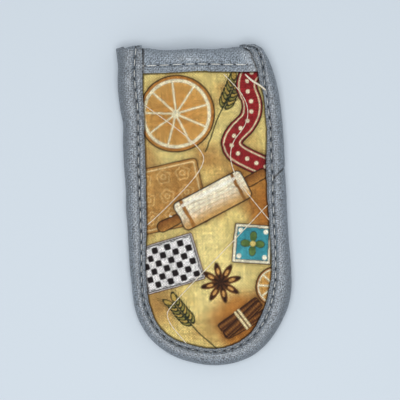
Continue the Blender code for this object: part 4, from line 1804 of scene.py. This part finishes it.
def fold_section(
    reach: dict[Face, Array], roll: Array, seams: dict[Face, Array], half: float, rounded: Face
) -> Array:
    """Lays out a folded tape's section, from its front fold round the roll to its back fold.

    Args:
        reach: How far the tape reaches in from the outline, on each face.
        roll: Depth of the outer edge on the flat side.
        seams: Distance from the inner fold to the seam, on each face.
        half: Half the tape's thickness.
        rounded: The face on which the padding rolls up between outline and seam.

    Returns:
        Knots of (inset, side, relief, from the seam in mm), each an array over the tape's length.
    """
    one = np.ones_like(roll)
    sides = {}
    for face in Face:
        inner, seam = reach[face], seams[face]
        groove = inner - seam
        plump = np.clip(seam / (3.0 * MM), 0.0, 1.0)
        if face is rounded:
            crest = 0.67 * groove
            slope = groove - crest
            rows = [
                (inner, -0.36),
                (inner - 0.16 * seam, GROOVE + 0.34 * plump),
                (inner - 0.42 * seam, GROOVE + 0.62 * plump),
                (inner - 0.74 * seam, GROOVE + 0.48 * plump),
                (groove, GROOVE),
                (groove - 0.13 * slope, -0.05),
                (groove - 0.38 * slope, 0.66),
                (groove - 0.70 * slope, 0.96),
                (crest, 1.0),
            ]
            angles, bluff = (76, 62, 48, 34, 20, 6), 0.68
        else:
            crest = roll
            middle = (groove + roll) / 2
            near = 0.22 * seam
            rows = [
                (inner, 0.05),
                (inner - 0.45 * seam, 0.50),
                (groove + near, 0.24),
                (groove, 0.0),
                (groove - near, 0.30),
                (groove - 2.4 * near, 0.72),
                (middle, 1.0),
                (roll, 0.96),
            ]
            angles, bluff = (66, 42, 18), 1.0
        knots = [(inset, one, relief * one) for inset, relief in rows]
        for turn in map(math.radians, angles):
            inset = crest - (crest - half) * math.cos(turn)
            knots.append((inset, math.sin(turn) ** bluff * one, one))
        sides[face] = np.stack([np.stack([*knot, (knot[0] - groove) / MM]) for knot in knots])
        sides[face][:, 1] *= face.value
    return np.concatenate([sides[Face.FRONT], sides[Face.BACK][::-1]])


def seam_column(across: int, face: Face, rounded: Face) -> float:
    """Finds the seam among the columns of a tape's grid.

    Args:
        across: How many columns the grid has.
        face: The face that the seam is looked for on.
        rounded: The face on which the padding rolls up.

    Returns:
        The seam's fractional column.
    """
    knot = SEAM_KNOT["rounded" if face is rounded else "flat"]
    last = sum(KNOTS.values()) - 1
    return (knot if face is Face.FRONT else last - knot) / last * (across - 1)


def push_out(places: Array, amount: Array) -> Array:
    """Moves a grid of points along its own normals.

    Args:
        places: Points of shape (rows, columns, 3).
        amount: How far each moves, of shape (rows, columns).

    Returns:
        The moved points.
    """
    normal = np.cross(np.gradient(places, axis=1), np.gradient(places, axis=0))
    normal /= np.maximum(np.linalg.norm(normal, axis=2, keepdims=True), 1e-12)
    return places + normal * amount[..., None]


@dataclass
class FoldedTape:
    """What both kinds of tape share: how their seam draws them in and how they are measured."""

    pattern: CuttingPattern
    wardrobe: Wardrobe

    @staticmethod
    def drawn_in(from_seam: Array, phase: Array, puff: float, reach: float) -> Array:
        """Draws a tape in along its seam: puffed between the stitches, dented where they go in.

        Args:
            from_seam: Distance from the seam.
            phase: Place along the seam in stitches, whole numbers at the needle holes.
            puff: Height of the puffs.
            reach: How far from the seam they reach.

        Returns:
            How far each point stands out.
        """
        swell = np.exp(-((from_seam / reach) ** 2)) * (0.5 - 0.5 * np.cos(math.tau * phase))
        swell = swell * smooth_step(np.abs(from_seam), 0.1 * MM, 0.9 * MM)
        dent = np.exp(-((from_seam / NEEDLE_REACH) ** 2)) * np.cos(math.pi * phase) ** 16
        return puff * swell - NEEDLE_DENT * dent

    @staticmethod
    def one_stitch(gap: float) -> tuple[Array, Array]:
        """Where a stitch's points lie along it, and how far each bows out, from 0 to 1."""
        along = np.linspace(0.0, 1.0, STITCH_KNOTS)
        return gap + (1.0 - 2.0 * gap) * along, np.sin(along * math.pi) ** 0.7

    def measured(
        self, places: Array, run: Array, phase: Array, from_seam: Array
    ) -> tuple[Array, dict[str, Array]]:
        """Keeps a folded strip above the table and measures its UV maps.

        Args:
            places: The strip's points.
            run: Distance along the strip, for each.
            phase: The same in stitches.
            from_seam: Distance from the seam, in mm.

        Returns:
            The places, and the UV maps by name.
        """
        places[..., 2] = np.maximum(places[..., 2], self.pattern.tape / 2)
        steps = np.linalg.norm(np.diff(places, axis=1), axis=2)
        over = np.pad(np.cumsum(steps, axis=1), ((0, 0), (1, 0)))
        return places, {"cloth": np.dstack([run, over]), "seam": np.dstack([phase, from_seam])}


@dataclass
class EdgeTape(FoldedTape):
    """The one tape round the sides and the closed end, with its two threads."""

    steps: int = 520
    across: int = 72
    cut_back: float = 0.7 * MM
    tapered: float = 3.0 * MM  # how long the end is that the fold lines leave out
    seam_inset: float = 3.1 * MM
    stitch: float = 5.05 * MM
    seam_start: float = 1.3 * MM
    seam_end: float = 7.5 * MM
    needle_thread: float = 0.44 * MM
    stitch_gap: float = 0.13  # what each end of a stitch leaves free, as a share of it
    stitch_slant: float = 1.6  # in columns
    puff: float = 0.30 * MM
    puff_reach: float = 2.2 * MM
    fold_wave: float = 0.16 * MM
    roll_wave: float = 0.24 * MM
    bend: tuple[float, float] = (108.0 * MM, 226.0 * MM)  # where the tape goes round the closed end
    join_at: float = 282.6 * MM
    join_slope: float = 0.8
    # how far the painted shade reaches beside the join
    join_shade_width: float = 0.6 * MM
    join_groove: float = 0.30 * MM
    join_step: float = 0.12 * MM
    flange_columns: int = 14  # of the grid, from a fold inwards
    fullness: float = 1.2  # the roll stands this much prouder than the pattern's relief

    @property
    def stitches(self) -> int:
        """How many stitches the seam has."""
        return int((self.pattern.route_length - self.seam_start - self.seam_end) / self.stitch)

    @property
    def distance(self) -> Array:
        """Distance along the outline of each row of the tape's grid."""
        return np.linspace(self.cut_back, self.pattern.route_length, self.steps)

    @cached_property
    def rows(self) -> Array:
        """The section at each row: (inset, side, relief, from the seam) for each column.

        Returns:
            An array of shape (rows, columns, 4).
        """
        distance = self.distance
        tables = {Face.FRONT: FRONT_REACH, Face.BACK: BACK_REACH}
        reach = {face: smooth_table(table, distance / MM) * MM for face, table in tables.items()}
        place = smooth_table(SEAM_PLACE, distance / MM) * MM
        front = np.clip(reach[Face.FRONT] - place, 1.0 * MM, 0.7 * reach[Face.FRONT])
        seams = {Face.FRONT: front, Face.BACK: np.minimum(self.seam_inset, 0.5 * reach[Face.BACK])}
        room = np.minimum(*(reach[face] - seams[face] for face in Face))
        roll = np.minimum(self.pattern.roll_depth, 0.6 * room)
        knots = fold_section(reach, roll, seams, self.pattern.tape / 2, Face.FRONT)
        return spline_rows(knots, self.across).transpose(2, 0, 1)

    def height(self, x: Array, y: Array, side: Array, relief: Array) -> Array:
        """Mid-height of the tape, from its back at side -1 to its front at 1.

        Args:
            x: Places across the pocket.
            y: Places along it.
            side: Place between the two faces, from -1 to 1.
            relief: How far each point stands up, 1 on the roll.

        Returns:
            The height of each point.
        """
        p = self.pattern
        low = p.tape / 2 + p.relief * (1.0 - np.maximum(relief, 0.0))
        top = p.levels(x, y)["over_mouth_tape"] + p.ply_gap + p.tape / 2
        high = top + p.relief * self.fullness * relief
        return low + (high - low) * (side + 1.0) / 2

    def puckers(self, run: Array, rows: Array) -> Array:
        """How far the cloth stands out of its smooth form at each point.

        Args:
            run: Distance along the tape.
            rows: The section's values at each point.

        Returns:
            The distance along the normal, for each point.
        """
        side, from_seam = rows[..., 1], rows[..., 3] * MM
        inward = np.clip(from_seam / (2.9 * MM), 0.0, 1.0)
        into, out = (smooth_step(run, place, 12.0 * MM) for place in self.bend)
        gather = lattice_noise(run / (1.7 * MM), 0 * run, 37) * into * (1.0 - out)
        wave = lattice_noise(run / (3.4 * MM), 0 * run, 31)
        fold_wave = self.fold_wave * inward * (wave + gather)
        roll_wave = self.roll_wave * clouds(run, side * 6.0 * MM, 11.0 * MM, 33, 3)
        roll_wave *= smooth_step(-from_seam, 0.5 * MM, 3.0 * MM) * (side > -0.4)
        slant = self.from_join(run, rows[..., 0])
        join = self.join_groove * np.exp(-((slant / (0.55 * MM)) ** 2)) * (side > -0.9)
        step = np.tanh(slant / (0.8 * MM)) * np.exp(-np.abs(slant) / (5.0 * MM))
        seam = self.drawn_in(from_seam, self.phase(run), self.puff, self.puff_reach)
        return seam + fold_wave + roll_wave - join + self.join_step * step

    def phase(self, run: Array) -> Array:
        """Distance along the tape, in stitches from the seam's start."""
        return (run - self.seam_start) / self.stitch

    @cached_property
    def surface(self) -> tuple[Array, dict[str, Array]]:
        """The folded strip's places and its UV maps.

        Returns:
            The points, and the UV maps by name.
        """
        p, distance, rows = self.pattern, self.distance, self.rows
        run = np.broadcast_to(distance[:, None], rows.shape[:2])
        x, y, inward_x, inward_y = p.walk(distance)
        inset = rows[..., 0] + self.edge_wander(run, rows)
        px = x[:, None] + inward_x[:, None] * inset
        py = y[:, None] + inward_y[:, None] * inset
        end = np.exp(-distance / (3.0 * MM))[:, None]
        py = py - end * smooth_table(END_CUT, rows[..., 0] / MM) * MM
        closed = 0.25 * np.exp(-(distance - self.cut_back) / (0.5 * MM))
        closed = closed + 0.34 * np.exp(-(p.route_length - distance) / (2.0 * MM))
        side = rows[..., 1] * (1.0 - closed)[:, None]
        places = np.dstack([px, py, self.height(px, py, side, rows[..., 2])])
        places = push_out(places, self.puckers(run, rows))
        phase = self.phase(run)
        unsewn = 40.0 * (phase > self.stitches + 0.4)
        return self.measured(places, run, phase, rows[..., 3] + unsewn)

    def fold_line(self, face: Face) -> Array:
        """The points of the inner fold on one face, up to the tapered end."""
        last = int(self.tapered / self.pattern.route_length * self.steps)
        return self.surface[0][:-last, 0 if face is Face.FRONT else -1]

    def from_join(self, run: Array, inset: Array) -> Array:
        """How far along the tape places lie from its slanting join."""
        return run - self.join_at + self.join_slope * (inset - 4.0 * MM)

    def join_line(self) -> Array:
        """The points of the slanting join, from the seam to the outer edge.

        Returns:
            One point for each column.
        """
        start = math.ceil(seam_column(self.across, Face.FRONT, Face.FRONT))
        columns = np.arange(start, self.across // 2)
        slant = self.from_join(self.distance[:, None], self.rows[:, columns, 0])
        return self.surface[0][np.abs(slant).argmin(axis=0), columns]

    def flange(self, face: Face) -> Array:
        """The points of the flat part of the tape beside its inner fold, on one face.

        Args:
            face: The side of the pocket.

        Returns:
            The points, one a row.
        """
        beside = self.flange_columns
        columns = slice(0, beside) if face is Face.FRONT else slice(-beside, None)
        return self.surface[0][:, columns].reshape(-1, 3)

    def make_tape(self) -> Object:
        """Makes the tape, one long folded strip.

        Returns:
            The tape.
        """
        places, marks = self.surface
        tape = Workbench.sheet("edge_bias_tape", places, marks)
        Workbench.thicken(tape, self.pattern.tape)
        # painted shade along the slanting join
        Workbench.crease(tape, [self.join_line()], self.join_shade_width)
        Workbench.hand_over(tape, self.wardrobe.edge_tape, "grey_tape", "edge_binding")
        self.pattern.route_length
        return tape

    def edge_wander(self, run: Array, rows: Array) -> Array:
        """How far the outline and the folds stray from a true line.

        Args:
            run: Distance along the tape.
            rows: The section's values at each point.

        Returns:
            The distance inwards, for each point.
        """
        outline = smooth_table(OUTLINE_STRAY, run / MM) * MM
        fold = self.fold_wave * clouds(run, 0 * run, 8.0 * MM, 43, 2)
        near_fold = smooth_step(rows[..., 3], -4.5, 5.0)
        near_fold = near_fold * smooth_step(np.abs(rows[..., 1]), 0.5, 0.49)
        return outline * (1 - near_fold) + fold * near_fold

    def make_thread(self, face: Face, name: str, node: str) -> Object:
        """Makes one side of the seam, stitch by stitch, down into its needle holes.

        Args:
            face: The side of the pocket.
            name: The thread's name.
            node: The solid that it stands for.

        Returns:
            The thread.
        """
        p = self.pattern
        radius = self.needle_thread / 2
        column = seam_column(self.across, face, Face.FRONT)
        share, bow = self.one_stitch(self.stitch_gap)
        slant = (share - 0.5) * self.stitch_slant
        strands = []
        for k in range(self.stitches):
            distance = self.seam_start + (k + share) * self.stitch
            row = (distance - self.cut_back) / (p.route_length - self.cut_back) * (self.steps - 1)
            on_tape = sample_grid(self.surface[0], row, column + slant)
            round_end = smooth_step(distance, 100 * MM, 35 * MM)
            round_end = round_end * (1 - smooth_step(distance, 195 * MM, 20 * MM))
            rise = radius * (1.5 * bow - 0.75 - 0.7 * round_end)
            on_tape[:, 2] += face.value * (p.tape / 2 + rise)
            strands.append(on_tape)
        thread = Workbench.threads(name, strands, radius)
        return Workbench.hand_over(thread, self.wardrobe.seam_thread, "thread", node)

    def build(self) -> list[Object]:
        """Makes the tape and the seam's two threads.

        Returns:
            The pieces.
        """
        return [
            self.make_tape(),
            self.make_thread(Face.FRONT, "edge_needle_stitches", "edge_needle_thread"),
            self.make_thread(Face.BACK, "edge_bobbin_stitches", "edge_bobbin_thread"),
        ]


@dataclass
class MouthTape(FoldedTape):
    """The tape folded over one panel's mouth, with its thread."""

    face: Face
    edge_fold: Array
    reach: float = 11.3 * MM
    seam_inset: float = 3.4 * MM
    stitch: float = 5.9 * MM
    stitch_gap: float = 0.11
    needle_thread: float = 0.46 * MM
    puff: float = 0.28 * MM
    puff_reach: float = 2.4 * MM
    fold_wave: float = 0.2 * MM
    roll_wave: float = 0.22 * MM
    columns: int = 180
    across: int = 64
    fullness: float = 1.4  # how proud the roll stands, as for the edge tape
    set_back: float = 0.55 * MM
    # how far the painted shade reaches beside the edge tape's fold
    crease: float = 1.3 * MM
    end_margin: float = 8.0 * MM  # no stitch nearer than this to the outline

    @property
    def side(self) -> str:
        """The start of the names of this tape's pieces."""
        return self.face.name.lower()

    @property
    def plies(self) -> tuple[str, str]:
        """Names of the levels that the tape is folded round."""
        under = "front_lining" if self.face is Face.FRONT else "back_cover"
        return under, f"{self.side}_top"

    def height(self, x: Array, y: Array, side: Array, relief: Array) -> Array:
        """Mid-height of the tape, from its lower ply at side -1 to its upper at 1.

        Args:
            x: Places across the pocket.
            y: Places along it.
            side: Place between the two faces, from -1 to 1.
            relief: How far each point stands up, 1 on the roll.

        Returns:
            The height of each point.
        """
        p = self.pattern
        level = p.levels(x, y)
        lift = p.relief * relief * (1.0 - level["side"])
        lift = lift * np.where(relief > 0.0, self.fullness, 1.0)
        low = level[self.plies[0]] - p.ply_gap - p.tape / 2
        high = level[self.plies[1]] + p.ply_gap + p.tape / 2
        if self.face is Face.FRONT:
            high = high + lift
        else:
            low = low - lift
        return (low * (1.0 - side) + high * (1.0 + side)) / 2

    def place(self, share: Array, inset: Array) -> tuple[Array, Array]:
        """x and y of places across the mouth and in from it.

        Args:
            share: Share of the way, from 0 to 1.
            inset: Distance in from the outer edge.

        Returns:
            x and y of each.
        """
        p = self.pattern
        edge_x, _ = p.panel_place(share, np.ones_like(share))
        y = p.mouth_y(edge_x) - inset - self.set_back
        if self.face is Face.FRONT:
            stray = smooth_table(MOUTH_STRAY, edge_x / MM) * MM - self.set_back
            y = y - stray * (1.0 - smooth_step(inset, 2.5 * MM, 4.5 * MM))
        margin = p.roll_depth + p.ply_gap
        left, right = margin - p.half, p.right_side_x(y) - margin
        return left + (right - left) * share, y

    @cached_property
    def surface(self) -> tuple[Array, dict[str, Array]]:
        """The folded strip's places and its UV maps.

        Returns:
            The points, and the UV maps by name.
        """
        p = self.pattern
        share = np.linspace(0.0, 1.0, self.columns)
        one = np.ones_like(share)
        reach = {face: self.reach * one for face in Face}
        seams = {face: self.seam_inset * one for face in Face}
        knots = fold_section(reach, p.mouth_roll_depth * one, seams, p.tape / 2, self.face)
        rows = spline_rows(knots, self.across).transpose(2, 0, 1)
        side, from_seam = rows[..., 1], rows[..., 3]
        x, y = self.place(np.broadcast_to(share[:, None], side.shape), rows[..., 0])
        fold = self.fold_wave * clouds(x, 0 * x, 9.0 * MM, 57, 2)
        y = y - fold * smooth_step(from_seam, -1.0, 3.0)
        places = np.dstack([x, y, self.height(x, y, side, rows[..., 2])])
        phase = x / self.stitch
        wave = self.roll_wave * clouds(x, side * 5.0 * MM, 10.0 * MM, 51, 3)
        seam = self.drawn_in(from_seam * MM, phase, self.puff, self.puff_reach)
        outer = side * self.face.value > -0.5
        places = push_out(places, -(seam + wave) * outer)
        return self.measured(places, x, phase, from_seam)

    def fold_line(self) -> Array:
        """The points of the inner fold on the outer face."""
        return self.surface[0][:, 0 if self.face is Face.FRONT else -1]

    def make_tape(self) -> Object:
        """Makes the folded tape.

        Returns:
            The tape.
        """
        places, marks = self.surface
        tape = Workbench.sheet(f"{self.side}_mouth_bias_tape", places, marks)
        Workbench.turn_over(tape)
        Workbench.thicken(tape, self.pattern.tape)
        # painted shade in the crease beside the edge tape's fold
        Workbench.crease(tape, [self.edge_fold], self.crease)
        node = f"{self.side}_mouth_binding"
        Workbench.hand_over(tape, self.wardrobe.mouth_tape, "grey_tape", node)
        return tape

    def make_thread(self, face: Face) -> Object:
        """Makes the seam's thread on one face of the tape, stitch by stitch.

        Args:
            face: The face of the tape, of which one is inside the pocket.

        Returns:
            The thread.
        """
        p = self.pattern
        radius = self.needle_thread / 2
        places, _ = self.surface
        column = seam_column(self.across, face, self.face)
        along = np.arange(self.columns, dtype=float)
        seam_x = sample_grid(places, along, np.full_like(along, column))[:, 0]
        share, bow = self.one_stitch(self.stitch_gap)
        strands = []
        for k in range(-5, 6):
            row = np.interp((k + share) * self.stitch, seam_x, along)
            on_tape = sample_grid(places, row, np.full_like(row, column))
            inset, _ = p.edge_inset(on_tape[:, 0], on_tape[:, 1])
            if inset.min() < self.end_margin:
                continue
            on_tape[:, 2] += face.value * (p.tape / 2 + radius * (1.5 * bow - 0.7))
            strands.append(on_tape)
        outside = face is self.face
        name = f"{self.side}_mouth_{'needle' if outside else 'bobbin'}_stitches"
        node = f"{self.side}_mouth_needle_thread" if outside else None
        thread = Workbench.threads(name, strands, radius)
        return Workbench.hand_over(thread, self.wardrobe.seam_thread, "thread", node)

    def build(self) -> list[Object]:
        """Makes the tape and its thread on both of its faces."""
        return [self.make_tape(), self.make_thread(Face.FRONT), self.make_thread(Face.BACK)]


# ---- the studio


@dataclass
class Studio:
    """The floor, the light and the camera."""

    floor_colour: str = "#D6E0EA"
    view_width: float = 186.5 * MM
    distance: float = 600.0 * MM
    target: tuple[float, float, float] = (-2.8 * MM, 1.6 * MM, 7.0 * MM)
    roll: float = math.radians(4.1)
    lamp_power: float = 4.6
    lamp_size: float = 0.6
    lamp_place: tuple[float, float, float] = (-0.03, -0.12, 0.85)
    lamp_colour: tuple[float, float, float] = (1.0, 0.985, 0.96)
    sky_strength: float = 0.47
    sky_colour: tuple[float, float, float, float] = (0.93, 0.97, 1.0, 1.0)
    seen_colour: str = "#DCE5EE"  # past the floor's edge

    def make_floor(self) -> Object:
        """Makes the plain pale floor.

        Returns:
            The floor.
        """
        Workbench.select()
        bpy.ops.mesh.primitive_plane_add(size=4.0, location=(0.0, 0.0, -0.1 * MM))
        floor = bpy.context.object
        floor.name = "floor"
        material = bpy.data.materials.new("matt_painted_board")
        material.use_nodes = True
        shader = material.node_tree.nodes["Principled BSDF"]
        shader.inputs["Base Color"].default_value = linear(self.floor_colour)
        shader.inputs["Roughness"].default_value = 0.95
        shader.inputs["Specular IOR Level"].default_value = 0.1
        floor.data.materials.append(material)
        return floor

    def make_light(self) -> None:
        """Makes the sky's even light and one broad soft lamp over the closed end."""
        world = bpy.data.worlds.new("studio")
        bpy.context.scene.world = world
        world.use_nodes = True
        tree = world.node_tree
        tree.nodes.clear()
        camera_ray = add_node(tree, "LightPath").outputs["Is Camera Ray"]
        glow = {"Color": self.sky_colour, "Strength": self.sky_strength}
        sky = add_node(tree, "Background", glow)
        seen = add_node(tree, "Background", {"Color": linear(self.seen_colour), "Strength": 1.0})
        mixed = add_node(tree, "MixShader", {0: camera_ray, 1: sky, 2: seen})
        add_node(tree, "OutputWorld", {"Surface": mixed})
        lamp = bpy.data.lights.new("softbox", "AREA")
        lamp.shape = "SQUARE"
        lamp.size = self.lamp_size
        lamp.energy = self.lamp_power
        lamp.color = self.lamp_colour
        holder = bpy.data.objects.new("softbox", lamp)
        holder.location = self.lamp_place
        x, y, z = self.lamp_place
        holder.rotation_euler = (-math.atan2(-y, z), math.atan2(x, z), 0.0)
        bpy.context.scene.collection.objects.link(holder)

    def make_camera(self) -> None:
        """Looks straight down, rolled so that the mouth leans as in the photograph."""
        camera = bpy.data.cameras.new("camera")
        camera.sensor_width = 36.0
        camera.lens = camera.sensor_width * self.distance / self.view_width
        camera.clip_start = 0.01
        holder = bpy.data.objects.new("camera", camera)
        x, y, z = self.target
        holder.location = (x, y, z + self.distance)
        holder.rotation_euler = (0.0, 0.0, -self.roll)
        bpy.context.scene.collection.objects.link(holder)
        bpy.context.scene.camera = holder

    def build(self) -> None:
        """Makes the floor, the light and the camera."""
        self.make_floor()
        self.make_light()
        self.make_camera()
        bpy.context.scene.view_settings.view_transform = "Standard"


def main() -> None:
    """Builds the dressed holder and its studio, piece by piece."""
    logging.basicConfig(level=logging.INFO, format="%(message)s")
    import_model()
    pattern = CuttingPattern()
    wardrobe = Wardrobe()
    Studio().build()
    edge = EdgeTape(pattern, wardrobe)
    builders: list[Any] = [edge]
    for face in Face:
        mouth = MouthTape(pattern, wardrobe, face, edge.fold_line(face))
        folds = [edge.fold_line(face), mouth.fold_line()]
        panel = QuiltedPanel(pattern, wardrobe, face, folds, edge.flange(face), ClothSettler())
        builders += [mouth, panel]
    for builder in builders:
        for piece in builder.build():
            LOG.info("%s: %d faces", piece.name, len(piece.data.polygons))


if __name__ == "__main__":
    main()
